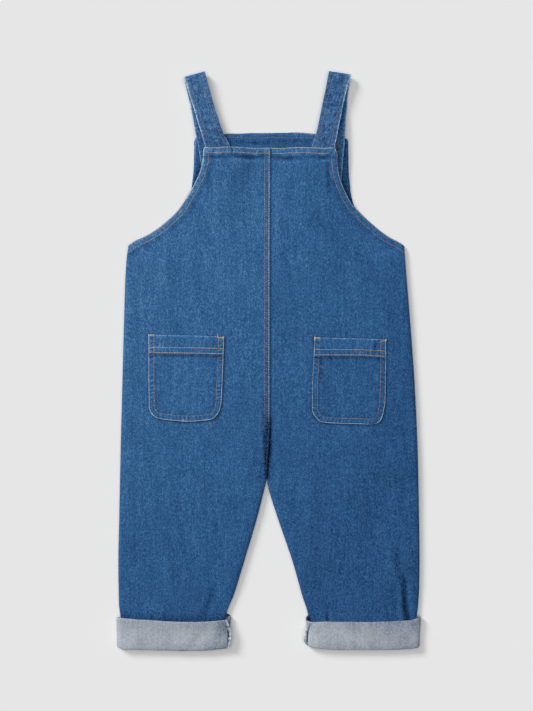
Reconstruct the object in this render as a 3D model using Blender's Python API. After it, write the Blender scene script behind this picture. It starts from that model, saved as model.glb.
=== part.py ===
"""Kids dungarees laid flat, back side up. Each piece that is cut and sewn on is one closed solid.

The garment lies face down on the surface z = 0. X runs across it, Y from the leg ends to the straps,
Z up. Sizes are in millimetres and become metres when a mesh is made. Left and right are as seen
from above. Every cloth piece is a grid of points: rows run down the piece, and each row runs from the
piece's outer edge to its inner one.
"""
import math

import bmesh
import bpy
from mathutils import Vector
from mathutils.bvhtree import BVHTree

MM = 0.001

# ---------------------------------------------------------------- driving sizes, millimetres
DENIM = 1.0                # one layer of the cloth
SEAM_GAP = 0.3             # between two pieces that are sewn together
HEM_EDGE = 1.5             # a turned hem at its very edge
HEM_THICK = 1.8            # the same hem under its stitching
HEM_DEPTH = 6.0            # how wide the hem along the back bib's top is
LAYER_SLACK = 0.8          # back above front where both lie flat
BODY_LOFT = 1.8            # air between them, added from the hips to the shins
LOFT_START = 150.0         # height on the bib down to which they lie close
LOFT_FULL = 60.0           # height from which the air is all there
SIDE_HEIGHT = 7.2          # height of the soft folds down the sides and inseams
SEAM_HEIGHT = 3.8          # height of the side seams and inseams in those folds
FOLD_DEPTH = 3.8           # how far in from the edge a fold turns flat
FOLD_FADE = 48.0           # how far in the back goes on sinking from such a fold
DRAPE_MARGIN = 6.0         # cloth stays lifted this far beside what it lies over
DRAPE_FADE = 22.0          # and has come down again this much further out
SEAT_SWELL = 2.0           # how far the seat stands up either side of its seam, near the crotch
SEAT_GROOVE = 8.0          # half of the groove between them

LAP = 6.8                  # width that the left back covers of the right back, down the centre seam
LAP_FULL = -98.0           # height down to which the lap has its whole width
LAP_GONE = -122.0          # height at which it has run out, just above the crotch
BACK_CORNER_RADIUS = 3.5   # round corners of the bibs
FRONT_CORNER_RADIUS = 3.0
FACING = 1.0               # bib facing
FACING_BORDER = 1.2        # the same with the seam turned under it
FACING_END = 168.0         # height of its lower edge
FACING_EASE = 0.15         # extra room between bib and facing, where the buttons lift them
FACING_INSET = 0.8         # from the edge of the bib
BIB_ARCH_FLATNESS = 2.6    # the front bib's top edge is level but for its two ends
BIB_ARCH_FADE = 60.0       # how far down the rows still follow that edge
BACK_BOW = {"left": 0.6, "right": 1.2}     # each half of a bib's top edge is bowed up by this
FRONT_BOW = {"left": -0.9, "right": -0.6}
BOW_END = 0.84             # the bow ends at this share of the way to the centre seam

STRAP_WIDTH = 22.0         # at the fold
STRAP_FLARE = {"back": 2.0, "front": 0.8}  # each half gets wider by this towards its end
STRAP_FLARE_FROM = 22.0    # from the fold to where it starts to widen
STRAP_FLARE_LONG = 55.0    # and along this stretch
STRAP_THICK = 1.7
STRAP_EDGE = 1.3           # thickness at its pressed edges
STRAP_LOOP = 4.0           # hollow inside the fold over the shoulder

CAP_RADIUS = 7.4
CAP_HEIGHT = 1.7
SHANK_RADIUS = 2.4
TACK_RADIUS = 5.2
TACK_HEIGHT = 0.7
CAP_LIFT = 2.2             # how far a button cap lifts the bib
CAP_PLATEAU = 16.0
CAP_FADE = 32.0
BUTTON_SIDES = 20
HOLE_BOTTOM = 1.6          # the holes round the shanks are cut between these heights
HOLE_TOP = 7.2

POCKET_THICK = 1.1
POCKET_BORDER = 1.6        # edge with its allowance turned under
POCKET_HEM = 2.0           # hem along the pocket's opening
POCKET_HEM_DEPTH = 20.0
POCKET_BORDER_WIDTH = 8.0
POCKET_EDGE = 1.3          # pressed edge all round

CUFF_HEIGHT = 8.2          # whole rolled cuff, as it lies
CUFF_WALL = 2.3            # two layers of the roll
CUFF_LIFT = 2.6            # the leg inside the cuff above the surface
CUFF_SEAM_HEIGHT = 4.1     # side seam inside the cuff
CUFF_SIDE_HEIGHT = 5.6     # soft folds inside the cuff
LEG_END = -312.0           # where the leg ends, inside the cuff
CUFF_RISE_START = -232.0   # the leg starts to rise towards the cuff
CUFF_RISE_END = -270.0

ALLOWANCE = 1.3            # overlocked inseam allowance on the cuff

# ---------------------------------------------------------------- outlines, (x, y) in millimetres
BACK_ARMHOLE = {
    "left": ((-71.2, 234.9), (-72.7, 218.9), (-76.1, 207.7), (-85.1, 189.6), (-99.0, 166.7),
             (-108.9, 155.7), (-123.4, 145.0), (-141.2, 134.6), (-154.6, 128.0)),
    "right": ((74.0, 235.4), (74.3, 218.9), (77.7, 203.2), (83.5, 187.6), (95.1, 167.2),
              (106.4, 156.6), (119.7, 145.3), (134.8, 135.0), (149.1, 127.9)),
}
FRONT_ARMHOLE = {
    "left": ((-82.0, 246.4), (-82.5, 228.0), (-83.2, 210.0), (-85.2, 193.6), (-88.4, 180.0),
             (-98.5, 161.0), (-111.0, 149.6), (-126.0, 139.4), (-154.6, 128.0)),
    "right": ((87.0, 245.3), (87.7, 228.0), (88.2, 210.0), (89.8, 193.6), (92.4, 175.3),
              (99.0, 162.0), (109.0, 150.4), (122.0, 139.4), (149.1, 127.9)),
}
SIDE = {
    "left": ((-154.6, 128.0), (-157.0, 111.1), (-158.9, 67.1), (-161.0, -9.9), (-163.3, -97.9),
             (-165.1, -185.9), (-165.9, -218.9), (-165.5, -251.9), (-164.8, -272.0),
             (-163.2, -284.0), (-163.0, -312.0)),
    "right": ((149.1, 127.9), (149.9, 111.1), (153.5, 67.1), (157.0, 22.0), (158.9, -2.0),
              (161.6, -50.0), (163.6, -97.9), (165.4, -185.9), (165.6, -218.9), (165.2, -251.9),
              (163.7, -274.0), (162.2, -286.0), (161.8, -312.0)),
}
CENTRE_BACK = ((1.8, 233.6), (1.7, 100.0), (0.8, -43.0), (-0.8, -98.0), (-2.4, -132.0))
CENTRE_FRONT = ((3.0, 250.3), (2.0, 100.0), (0.8, -43.0), (-0.8, -98.0), (-2.4, -132.0))
INSEAM = {
    "left": ((-2.4, -132.0), (-5.1, -141.9), (-13.6, -174.9), (-26.7, -218.9), (-40.4, -262.9),
             (-45.4, -273.9), (-48.4, -281.6), (-48.6, -296.0), (-48.6, -312.0)),
    "right": ((-2.4, -132.0), (-0.2, -141.9), (10.1, -174.9), (25.3, -218.9), (37.8, -262.9),
              (41.6, -273.9), (43.5, -281.6), (44.7, -296.0), (45.2, -312.0)),
}

# rows below the armhole: height on the side seam and on the centre seam or inseam, how far each
# edge has turned into a fold (0 flat, 1 folded), and how far the seat swells beside its seam
LEG_ROWS = (
    # side_y, inner_y, side_fold, inner_fold, seat_swell
    (126.6, 100.0, 0.5, 0.0, 0.0),
    (118.0, 92.0, 1.0, 0.0, 0.0),
    (96.0, 70.0, 1.0, 0.0, 0.0),
    (60.0, 34.0, 1.0, 0.0, 0.0),
    (24.0, -2.0, 1.0, 0.0, 0.0),
    (-12.0, -38.0, 1.0, 0.0, 0.1),
    (-48.0, -72.0, 1.0, 0.0, 0.4),
    (-80.0, -98.0, 1.0, 0.0, 0.8),
    (-104.0, -124.0, 1.0, 0.0, 1.0),
    (-112.0, -132.0, 1.0, 0.6, 1.0),
    (-122.0, -142.0, 1.0, 1.0, 0.7),
    (-148.0, -166.0, 1.0, 1.0, 0.0),
    (-178.0, -194.0, 1.0, 1.0, 0.0),
    (-208.0, -220.0, 1.0, 1.0, 0.0),
    (-234.0, -242.0, 1.0, 1.0, 0.0),
    (-252.0, -258.0, 1.0, 1.0, 0.0),
    (-270.0, -274.0, 1.0, 1.0, 0.0),
    (-285.0, -287.0, 1.0, 1.0, 0.0),
    (LEG_END, LEG_END, 1.0, 1.0, 0.0),
)
BACK_BIB_DEPTHS = (0.0, 1.2, 6.0, 7.4, 14.0, 26.0, 40.0, 55.0, 71.0, 88.0, 105.0, 122.0, 134.0)
FRONT_BIB_DEPTHS = (0.0, 3.0, 12.0, 24.0, 36.0, 48.0, 62.0, 78.0, 96.0, 114.0, 134.0)
BIB_INNER_SHARE = 0.94     # rows slant a little: the centre seam is shorter than the armhole

# edge columns: distance from a flat edge, and the angle round a folded one
HEM_COLUMNS = (0.0, 1.0, 5.8, 7.2, 13.0)
HEM_PROFILE = (HEM_EDGE, HEM_THICK, HEM_THICK, DENIM, DENIM)
LAP_COLUMNS = (0.0, 1.2, 7.4, 9.4, 15.0)
LAP_RAISED = (1.0, 1.0, 1.0, 0.0, 0.0)
PLAIN_COLUMNS = (0.0, 1.2, 4.0, 8.0, 14.0)
PLAIN_PROFILE = (DENIM, DENIM, DENIM, DENIM, DENIM)
FOLD_ANGLES = (0.0, 32.0, 62.0, 90.0, 90.0)
FOLD_BEYOND = (0.0, 0.0, 0.0, 0.0, 8.0)
MIDDLE_COLUMNS = 5

# straps: (x, y) where the fold's outer edge is, and the lean of each half in degrees
STRAPS = {
    "left": {"fold": (-81.2, 315.8), "back_lean": 16.6, "front_lean": 11.2, "side": 1.0},
    "right": {"fold": (77.7, 317.3), "back_lean": 12.4, "front_lean": 5.5, "side": -1.0},
}
STRAP_BACK_LENGTH = 98.0   # from the fold to the end that is sewn under the back bib
STRAP_FRONT_LENGTH = 132.0 # from the fold to the free end inside the front bib
STRAP_BUTTON = 79.5        # from the fold to the button
STRAP_FOLD_LIE = 20.0      # the strap's cross-lines turn square to it within this of the fold
STRAP_COLUMNS = (-1.0, -0.91, -0.44, 0.0, 0.44, 0.91, 1.0)      # shares of half the width
STRAP_BACK_SHARES = (1.0, 0.92, 0.84, 0.76, 0.65, 0.53, 0.41, 0.29, 0.16, 0.07)
STRAP_TURN_SHARES = (-1.0, -0.6, -0.2, 0.2, 0.6, 1.0)
STRAP_FRONT_SHARES = (0.05, 0.12, 0.2, 0.27, 0.35, 0.42, 0.5, 0.58, 0.65, 0.73, 0.82, 0.91, 1.0)
STRAP_ON_BIB = 252.0       # height from which the strap lies on the front bib
STRAP_ON_FLOOR = 278.0     # height from which it lies on the surface

# ---------------------------------------------------------------- colours, linear RGB
DENIM_BLUE = (0.030, 0.108, 0.255)
DENIM_WRONG_SIDE = (0.330, 0.367, 0.418)
BRASS = (0.260, 0.150, 0.075)


# ---------------------------------------------------------------- small helpers
def mix(start, end, share):
    return start + (end - start) * share


def ease(share):
    """0 to 1 with a soft start and end, and level beyond both."""
    share = min(max(share, 0.0), 1.0)
    return share * share * (3.0 - 2.0 * share)


class Outline:
    """A smooth line through a few (x, y) points, read by the distance along it or by height."""

    def __init__(self, points, flip=1.0):
        self.points = [Vector((x * flip, y)) for x, y in points]
        self.marks = [0.0]
        for start, end in zip(self.points, self.points[1:]):
            self.marks.append(self.marks[-1] + (end - start).length)
        self.length = self.marks[-1]

    def tangent(self, index):
        before = max(index - 1, 0)
        after = min(index + 1, len(self.points) - 1)
        return (self.points[after] - self.points[before]) / (self.marks[after] - self.marks[before])

    def at(self, distance):
        distance = min(max(distance, 0.0), self.length)
        index = 0
        while index < len(self.points) - 2 and self.marks[index + 1] < distance:
            index += 1
        span = self.marks[index + 1] - self.marks[index]
        t = (distance - self.marks[index]) / span
        start, end = self.points[index], self.points[index + 1]
        out, back = self.tangent(index) * span, self.tangent(index + 1) * span
        return (start * (2 * t ** 3 - 3 * t ** 2 + 1) + out * (t ** 3 - 2 * t ** 2 + t)
                + end * (3 * t ** 2 - 2 * t ** 3) + back * (t ** 3 - t ** 2))

    def at_height(self, height):
        """The point at a height, on a line that runs down all the way."""
        low, high = 0.0, self.length
        for _ in range(40):
            middle = 0.5 * (low + high)
            if self.at(middle).y > height:
                low = middle
            else:
                high = middle
        return self.at(0.5 * (low + high))


def bib_arch(share):
    """How far the front bib's top edge has risen, from 0 at either corner to 1 in the middle."""
    return 1.0 - abs(2.0 * share - 1.0) ** BIB_ARCH_FLATNESS


def into_cloth(points, turn):
    """The way into the cloth at each edge point, longer at corners so that offsets stay parallel."""
    normals = []
    for start, end in zip(points, points[1:]):
        step = (end - start).normalized()
        normals.append(Vector((-step.y, step.x)) * turn)
    ways = [normals[0]]
    for above, below in zip(normals, normals[1:]):
        ways.append((above + below) / (1.0 + above.dot(below)))
    ways.append(normals[-1])
    return ways


def round_corner(across, down, radius):
    """Moves a point near a square corner, given by its distances from both edges, onto a round one."""
    if across >= radius or down >= radius:
        return across, down
    ring = min(across, down)
    turn = math.radians(45.0) * (radius - max(across, down)) / (radius - ring)
    near = radius - (radius - ring) * math.cos(turn)
    far = radius - (radius - ring) * math.sin(turn)
    return (near, far) if across <= down else (far, near)


def distance_to_line(point, start, end):
    """From a point to the nearest place between two others."""
    run = end - start
    share = min(max((point - start).dot(run) / run.length_squared, 0.0), 1.0)
    return (point - start - run * share).length


# ---------------------------------------------------------------- materials and meshes
def make_material(name, colour, roughness, metallic=0.0):
    material = bpy.data.materials.new(name)
    material.use_nodes = True
    shader = material.node_tree.nodes["Principled BSDF"]
    shader.inputs["Base Color"].default_value = (*colour, 1.0)
    shader.inputs["Roughness"].default_value = roughness
    shader.inputs["Metallic"].default_value = metallic
    material.diffuse_color = (*colour, 1.0)
    return material


def finish_mesh(name, shell, colour, roughness=0.9, metallic=0.0):
    """Turns a bmesh in millimetres into an object with a material of its own."""
    bmesh.ops.scale(shell, vec=(MM, MM, MM), verts=shell.verts)
    bmesh.ops.recalc_face_normals(shell, faces=shell.faces)
    mesh = bpy.data.meshes.new(name)
    shell.to_mesh(mesh)
    shell.free()
    mesh.shade_smooth()
    mesh.set_sharp_from_angle(angle=math.radians(40.0))
    mesh.materials.append(make_material(name + "_finish", colour, roughness, metallic))
    piece = bpy.data.objects.new(name, mesh)
    bpy.context.scene.collection.objects.link(piece)
    return piece


def wall_between(name, upper, lower, colour):
    """One closed wall between two grids of points with the same rows and columns."""
    shell = bmesh.new()
    top = [[shell.verts.new(point) for point in row] for row in upper]
    bottom = [[shell.verts.new(point) for point in row] for row in lower]
    rows, columns = len(top), len(top[0])
    for k in range(rows - 1):
        for i in range(columns - 1):
            for sheet, order in ((top, 1), (bottom, -1)):
                corners = [sheet[k][i], sheet[k + 1][i], sheet[k + 1][i + 1], sheet[k][i + 1]]
                shell.faces.new(corners[::order])
    rim = [(0, i) for i in range(columns - 1)]
    rim += [(k, columns - 1) for k in range(rows - 1)]
    rim += [(rows - 1, i) for i in range(columns - 1, 0, -1)]
    rim += [(k, 0) for k in range(rows - 1, 0, -1)]
    for here, there in zip(rim, rim[1:] + rim[:1]):
        shell.faces.new((top[here[0]][here[1]], top[there[0]][there[1]],
                         bottom[there[0]][there[1]], bottom[here[0]][here[1]]))
    return finish_mesh(name, shell, colour)


def ring_wall(name, loops, colour):
    """One closed ring: each loop is a closed cross-section, and the loops themselves close up."""
    shell = bmesh.new()
    rings = [[shell.verts.new(point) for point in loop] for loop in loops]
    for here, there in zip(rings, rings[1:] + rings[:1]):
        for i in range(len(here)):
            j = (i + 1) % len(here)
            shell.faces.new((here[i], here[j], there[j], there[i]))
    return finish_mesh(name, shell, colour)


# ---------------------------------------------------------------- how high each layer lies
def strap_axes(strap):
    """The fold's middle and the ways along the fold and out of it, then down each half."""
    side = strap["side"]
    fold_lean = math.radians(0.5 * (strap["back_lean"] + strap["front_lean"])) * side
    out = Vector((-math.sin(fold_lean), math.cos(fold_lean)))
    along = Vector((out.y, -out.x))
    radius = 0.5 * (STRAP_THICK + STRAP_LOOP)
    middle = Vector(strap["fold"]) - out * (radius + 0.5 * STRAP_THICK)
    downs = []
    for key in ("back_lean", "front_lean"):
        lean = math.radians(strap[key]) * side
        downs.append(Vector((math.sin(lean), -math.cos(lean))))
    return middle, along, out, downs[0], downs[1]


def button_place(strap):
    middle, _, _, _, front_down = strap_axes(strap)
    return middle + front_down * STRAP_BUTTON


def cuff_entry(y):
    """0 where the leg lies on the surface, 1 where it is inside the cuff."""
    return ease((CUFF_RISE_START - y) / (CUFF_RISE_START - CUFF_RISE_END))


def front_level(point):
    """Height of the front's outer side: on the surface but for the button caps and the cuffs."""
    lift = CUFF_LIFT * cuff_entry(point.y)
    for strap in STRAPS.values():
        reach = (point - button_place(strap)).length
        lift = max(lift, CAP_LIFT * (1.0 - ease((reach - CAP_PLATEAU) / CAP_FADE)))
    return lift


def strap_front_level(point):
    """Height of the strap's underside inside the front bib, and on the surface beyond it."""
    on_bib = 1.0 - ease((point.y - STRAP_ON_BIB) / (STRAP_ON_FLOOR - STRAP_ON_BIB))
    facing_top = front_level(point) + DENIM + SEAM_GAP + FACING_EASE + FACING_BORDER
    return (facing_top + SEAM_GAP) * on_bib


def strap_back_level(point):
    """Height of the underside of the strap's upper half."""
    tack_room = SEAM_GAP + TACK_HEIGHT + SEAM_GAP
    far = ease((point.y - STRAP_ON_BIB) / (STRAPS["left"]["fold"][1] - STRAP_ON_BIB))
    return strap_front_level(point) + STRAP_THICK + mix(tack_room, STRAP_LOOP, far)


def draped(reach):
    """1 over a strap and just beside it, 0 where cloth that lies on it is down again."""
    half_width = 0.5 * (STRAP_WIDTH + STRAP_FLARE["back"])
    return 1.0 - ease((reach - half_width - DRAPE_MARGIN) / DRAPE_FADE)


def back_level(point):
    """Height of the back's inner side: on the front, the facing, the straps and their ends."""
    level = front_level(point) + DENIM + LAYER_SLACK
    level += BODY_LOFT * ease((LOFT_START - point.y) / (LOFT_START - LOFT_FULL)) * (1.0 - cuff_entry(point.y))
    level += (FACING + FACING_EASE) * ease((point.y - FACING_END + DRAPE_FADE) / (DRAPE_FADE - DRAPE_MARGIN))
    front_cover, end_cover = 0.0, 0.0
    for strap in STRAPS.values():
        middle, _, _, back_down, front_down = strap_axes(strap)
        front_end = middle + front_down * STRAP_FRONT_LENGTH
        back_end = middle + back_down * STRAP_BACK_LENGTH
        front_cover = max(front_cover, draped(distance_to_line(point, middle, front_end)))
        end_cover = max(end_cover, draped(distance_to_line(point, middle, back_end)))
    level += max(front_cover, end_cover) * (STRAP_THICK + SEAM_GAP)
    level += end_cover * (STRAP_THICK + SEAM_GAP + TACK_HEIGHT + SEAM_GAP)
    return level


# ---------------------------------------------------------------- panels
def panel_rows(armhole, side, centre, inseam, depths, flip):
    """Edge points of each row, from the bib's top down, with the share of fold at both edges."""
    armhole, side = Outline(armhole, flip), Outline(side, flip)
    centre, inseam = Outline(centre, flip), Outline(inseam, flip)
    rows = []
    for depth in depths:
        inner = centre.at(depth if depth < 15.0 else mix(14.0, depth, BIB_INNER_SHARE))
        rows.append((armhole.at(depth), inner, 0.0, 0.0, 0.0))
    for side_y, inner_y, *shares in LEG_ROWS:
        inner_line = centre if inner_y >= centre.points[-1].y else inseam
        rows.append((side.at_height(side_y), inner_line.at_height(inner_y), *shares))
    return rows


def edge_points(edge, way, fold, columns, heights, seam):
    """Both sides of the cloth at each edge column, as (place, height) pairs.

    heights(place, column) gives the shown and the hidden side where the edge is flat."""
    shown, hidden = [], []
    for column, distance in enumerate(columns):
        angle = math.radians(FOLD_ANGLES[column])
        turn = 1.0 - math.cos(angle)
        beyond = FOLD_BEYOND[column]
        folded_out = FOLD_DEPTH * turn + beyond
        folded_in = DENIM + (FOLD_DEPTH - DENIM) * turn + beyond
        shown_place = edge + way * mix(distance, folded_out, fold)
        hidden_place = edge + way * mix(distance, folded_in, fold)
        flat_shown, flat_hidden = heights(shown_place, column)
        rise = math.sin(angle)
        shown.append((shown_place, mix(flat_shown, mix(seam, flat_shown, rise), fold)))
        hidden.append((hidden_place, mix(flat_hidden, mix(seam, flat_hidden, rise), fold)))
    return shown, hidden


def back_panel(side_name):
    """Back bib, seat and leg in one, with hemmed top and armhole and a lapped centre seam."""
    flip = 1.0 if side_name == "left" else -1.0
    over = side_name == "left"
    rows = panel_rows(BACK_ARMHOLE[side_name], SIDE[side_name], CENTRE_BACK, INSEAM[side_name],
                      BACK_BIB_DEPTHS, flip)
    outer_points = [row[0] for row in rows]
    inner_points = []
    for _, inner, _, inner_fold, _ in rows:
        covered = LAP * ease((inner.y - LAP_GONE) / (LAP_FULL - LAP_GONE))
        if over or inner_fold > 0.0:
            covered = -0.5 * SEAM_GAP
        inner_points.append(inner + Vector((covered, 0.0)))
    outer_ways = into_cloth(outer_points, 1.0)
    inner_ways = into_cloth(inner_points, -1.0)
    upper, lower = [], []
    for k, (_, _, side_fold, inner_fold, seat_swell) in enumerate(rows):
        outer, inner = outer_points[k], inner_points[k]
        depth = BACK_BIB_DEPTHS[k] if k < len(BACK_BIB_DEPTHS) else math.inf
        top_hem = depth <= HEM_DEPTH
        entry = cuff_entry(inner.y)
        seam = mix(SEAM_HEIGHT, CUFF_SEAM_HEIGHT, entry) + 0.5 * SEAM_GAP
        fold_top = mix(SIDE_HEIGHT, CUFF_SIDE_HEIGHT, entry) - DENIM

        def inside(place):
            level = back_level(Vector((place.x * flip, place.y)))
            swell = 0.0
            for edge, fold in ((outer, side_fold), (inner, inner_fold)):
                reach = (place - edge).length
                swell = max(swell, fold * (1.0 - ease((reach - FOLD_DEPTH) / FOLD_FADE)))
            from_seam = (place - inner).length - SEAT_GROOVE
            seat = seat_swell * ease(from_seam / SEAT_GROOVE) * (1.0 - ease(from_seam / FOLD_FADE))
            return max(mix(level, max(fold_top, level), swell), level + SEAT_SWELL * seat)

        def outer_heights(place, column):
            level = inside(place)
            thick = max(HEM_PROFILE[column], HEM_THICK if top_hem else DENIM)
            thick = HEM_EDGE if depth == 0.0 else thick
            return level + mix(thick, DENIM, side_fold), level

        def inner_heights(place, column):
            thick = HEM_THICK if top_hem else DENIM
            raised = (thick + SEAM_GAP) * LAP_RAISED[column] * (1.0 - inner_fold) if over else 0.0
            level = inside(place) + raised
            return level + thick, level

        shown, hidden = edge_points(outer, outer_ways[k], side_fold, HEM_COLUMNS, outer_heights, seam)
        inner_columns = LAP_COLUMNS if over else PLAIN_COLUMNS
        far_shown, far_hidden = edge_points(inner, inner_ways[k], inner_fold, inner_columns,
                                            inner_heights, seam)
        start, end = shown[-1][0], far_shown[-1][0]
        for step in range(1, MIDDLE_COLUMNS + 1):
            place = start.lerp(end, step / (MIDDLE_COLUMNS + 1))
            level = inside(place)
            shown.append((place, level + (HEM_THICK if top_hem else DENIM)))
            hidden.append((place, level))
        shown += far_shown[::-1]
        hidden += far_hidden[::-1]
        if depth < BIB_ARCH_FADE:
            rise = BACK_BOW[side_name] * (1.0 - ease(depth / BIB_ARCH_FADE))
            bow_row(shown, outer, inner, rise)
            bow_row(hidden, outer, inner, rise)
        upper.append(shown)
        lower.append(hidden)
    round_bib_corner(upper, lower, BACK_BIB_DEPTHS, HEM_COLUMNS, BACK_CORNER_RADIUS)
    return wall_between("back_" + side_name + "_panel", to_points(upper, flip),
                        to_points(lower, flip), DENIM_BLUE)


def front_panel(side_name):
    """Front bib and leg in one, its right side down on the surface, with a plain centre seam."""
    flip = 1.0 if side_name == "left" else -1.0
    rows = panel_rows(FRONT_ARMHOLE[side_name], SIDE[side_name], CENTRE_FRONT, INSEAM[side_name],
                      FRONT_BIB_DEPTHS, flip)
    outer_points = [row[0] for row in rows]
    inner_points = [row[1] - Vector((0.5 * SEAM_GAP, 0.0)) for row in rows]
    outer_ways = into_cloth(outer_points, 1.0)
    inner_ways = into_cloth(inner_points, -1.0)
    upper, lower = [], []
    for k, (_, _, side_fold, inner_fold, _) in enumerate(rows):
        entry = cuff_entry(inner_points[k].y)
        seam = mix(SEAM_HEIGHT, CUFF_SEAM_HEIGHT, entry) - 0.5 * SEAM_GAP

        def heights(place, _column):
            level = front_level(Vector((place.x * flip, place.y)))
            return level, level + DENIM

        shown, hidden = edge_points(outer_points[k], outer_ways[k], side_fold, PLAIN_COLUMNS,
                                    heights, seam)
        far_shown, far_hidden = edge_points(inner_points[k], inner_ways[k], inner_fold,
                                            PLAIN_COLUMNS, heights, seam)
        start, end = shown[-1][0], far_shown[-1][0]
        for step in range(1, MIDDLE_COLUMNS + 1):
            place = start.lerp(end, step / (MIDDLE_COLUMNS + 1))
            level = heights(place, step)
            shown.append((place, level[0]))
            hidden.append((place, level[1]))
        shown += far_shown[::-1]
        hidden += far_hidden[::-1]
        if k < len(FRONT_BIB_DEPTHS):
            near_top = 1.0 - ease(FRONT_BIB_DEPTHS[k] / BIB_ARCH_FADE)
            arch_row(shown, outer_points[k], inner_points[k], near_top)
            arch_row(hidden, outer_points[k], inner_points[k], near_top)
            bow_row(shown, outer_points[k], inner_points[k], FRONT_BOW[side_name] * near_top)
            bow_row(hidden, outer_points[k], inner_points[k], FRONT_BOW[side_name] * near_top)
        lower.append(shown)
        upper.append(hidden)
    round_bib_corner(upper, lower, FRONT_BIB_DEPTHS, PLAIN_COLUMNS, FRONT_CORNER_RADIUS)
    return wall_between("front_" + side_name + "_panel", to_points(upper, flip),
                        to_points(lower, flip), DENIM_BLUE)


def arch_row(row, outer, inner, near_top):
    """Bends a straight row of half a bib up to the arch of the whole bib's top edge."""
    rise = inner.y - outer.y
    for place, _ in row:
        share = (place.x - outer.x) / (inner.x - outer.x)
        place.y += rise * near_top * (bib_arch(0.5 * share) - share)


def bow_row(row, outer, inner, rise):
    """Bows a row of half a bib up, between its corner and the layers at the centre seam."""
    for place, _ in row:
        share = (place.x - outer.x) / (inner.x - outer.x) / BOW_END
        place.y += 0.5 * rise * (1.0 - math.cos(2.0 * math.pi * min(max(share, 0.0), 1.0)))


def round_bib_corner(upper, lower, depths, columns, radius):
    """Rounds the outer corner of a bib's top in both grids."""
    corner = upper[0][0][0].copy()
    across = (upper[0][-1][0] - corner).normalized()
    down = (upper[2][0][0] - corner).normalized()
    for grid in (upper, lower):
        for k, depth in enumerate(depths[:3]):
            for i, distance in enumerate(columns[:3]):
                if distance < radius and depth < radius:
                    a, b = round_corner(distance, depth, radius)
                    grid[k][i] = (corner + across * a + down * b, grid[k][i][1])


def to_points(grid, flip):
    return [[Vector((place.x * flip, place.y, height)) for place, height in row] for row in grid]


# ---------------------------------------------------------------- bib facing
FACING_DEPTHS = (0.0, 1.0, 6.0, 7.6, 18.0, 30.0, 42.0, 54.0, 66.0, 78.0)
FACING_BORDER_COLUMNS = (0.0, 1.0, 6.0, 7.6)
FACING_SEAM_WIDTH = 6.5
FACING_MIDDLE_STEPS = 10


def bib_facing():
    """The facing inside the front bib, from edge to edge and down past the armholes."""
    left, right = Outline(FRONT_ARMHOLE["left"]), Outline(FRONT_ARMHOLE["right"])
    middle_top = CENTRE_FRONT[0]
    borders, steps = FACING_BORDER_COLUMNS, FACING_MIDDLE_STEPS
    upper, lower = [], []
    for depth in FACING_DEPTHS:
        height_share = depth / FACING_DEPTHS[-1]
        left_point = left.at_height(mix(left.points[0].y - FACING_INSET, FACING_END, height_share))
        right_point = right.at_height(mix(right.points[0].y - FACING_INSET, FACING_END, height_share))
        arch = (middle_top[1] - 0.5 * (left.points[0].y + right.points[0].y)) * (1.0 - height_share)
        run = right_point - left_point
        width = run.length - 2.0 * FACING_INSET
        spots = [distance / width for distance in borders]
        spots += [mix(borders[-1] / width, 1.0 - borders[-1] / width, i / steps) for i in range(1, steps)]
        spots += [1.0 - distance / width for distance in borders[::-1]]
        top_row, low_row = [], []
        for spot in spots:
            along = (FACING_INSET + spot * width) / run.length
            place = left_point + run * along
            place.y += arch * bib_arch(along)
            from_edge = min(depth, spot * width, (1.0 - spot) * width)
            level = front_level(place) + DENIM + SEAM_GAP + FACING_EASE
            low_row.append(Vector((place.x, place.y, level)))
            thick = FACING_BORDER if from_edge < FACING_SEAM_WIDTH else FACING
            top_row.append(Vector((place.x, place.y, level + thick)))
        upper.append(top_row)
        lower.append(low_row)
    return wall_between("bib_facing", upper, lower, DENIM_BLUE)


# ---------------------------------------------------------------- straps
def strap_piece(side_name):
    """One straight strap, folded over the shoulder: the upper half to the back bib, the lower one
    down inside the front bib."""
    strap = STRAPS[side_name]
    middle, along, out, back_down, front_down = strap_axes(strap)
    radius = 0.5 * (STRAP_THICK + STRAP_LOOP)
    half_turn = 0.5 * math.pi * radius
    back_steps = [-STRAP_BACK_LENGTH * share for share in STRAP_BACK_SHARES]
    turn_steps = [half_turn * share for share in STRAP_TURN_SHARES]
    front_steps = [STRAP_FRONT_LENGTH * share for share in STRAP_FRONT_SHARES]
    upper, lower = [], []
    for step in back_steps + turn_steps + front_steps:
        top_row, low_row = [], []
        flare = STRAP_FLARE["back" if step < 0.0 else "front"]
        flare *= ease((abs(step) - STRAP_FLARE_FROM) / STRAP_FLARE_LONG)
        for width_share in STRAP_COLUMNS:
            width = 0.5 * (STRAP_WIDTH + flare) * width_share
            half = 0.5 * (STRAP_EDGE if abs(width_share) == 1.0 else STRAP_THICK)
            if abs(step) <= half_turn + 1e-6:
                angle = step / radius
                place = middle + along * width + out * (radius * math.cos(angle))
                height = 0.5 * STRAP_THICK + radius * (1.0 - math.sin(angle))
                normal = Vector((out.x * math.cos(angle), out.y * math.cos(angle), -math.sin(angle)))
            else:
                down = back_down if step < 0.0 else front_down
                across = Vector((-down.y, down.x))
                share = ease((abs(step) - half_turn) / STRAP_FOLD_LIE)
                lie = along.lerp(across, share)
                place = middle + lie * width + down * (abs(step) - half_turn)
                level = strap_back_level(place) if step < 0.0 else strap_front_level(place)
                height = level + 0.5 * STRAP_THICK
                normal = Vector((0.0, 0.0, 1.0 if step < 0.0 else -1.0))
            centre = Vector((place.x, place.y, height))
            top_row.append(centre + normal * half)
            low_row.append(centre - normal * half)
        upper.append(top_row)
        lower.append(low_row)
    return wall_between("strap_" + side_name, upper, lower, DENIM_BLUE)


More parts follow.
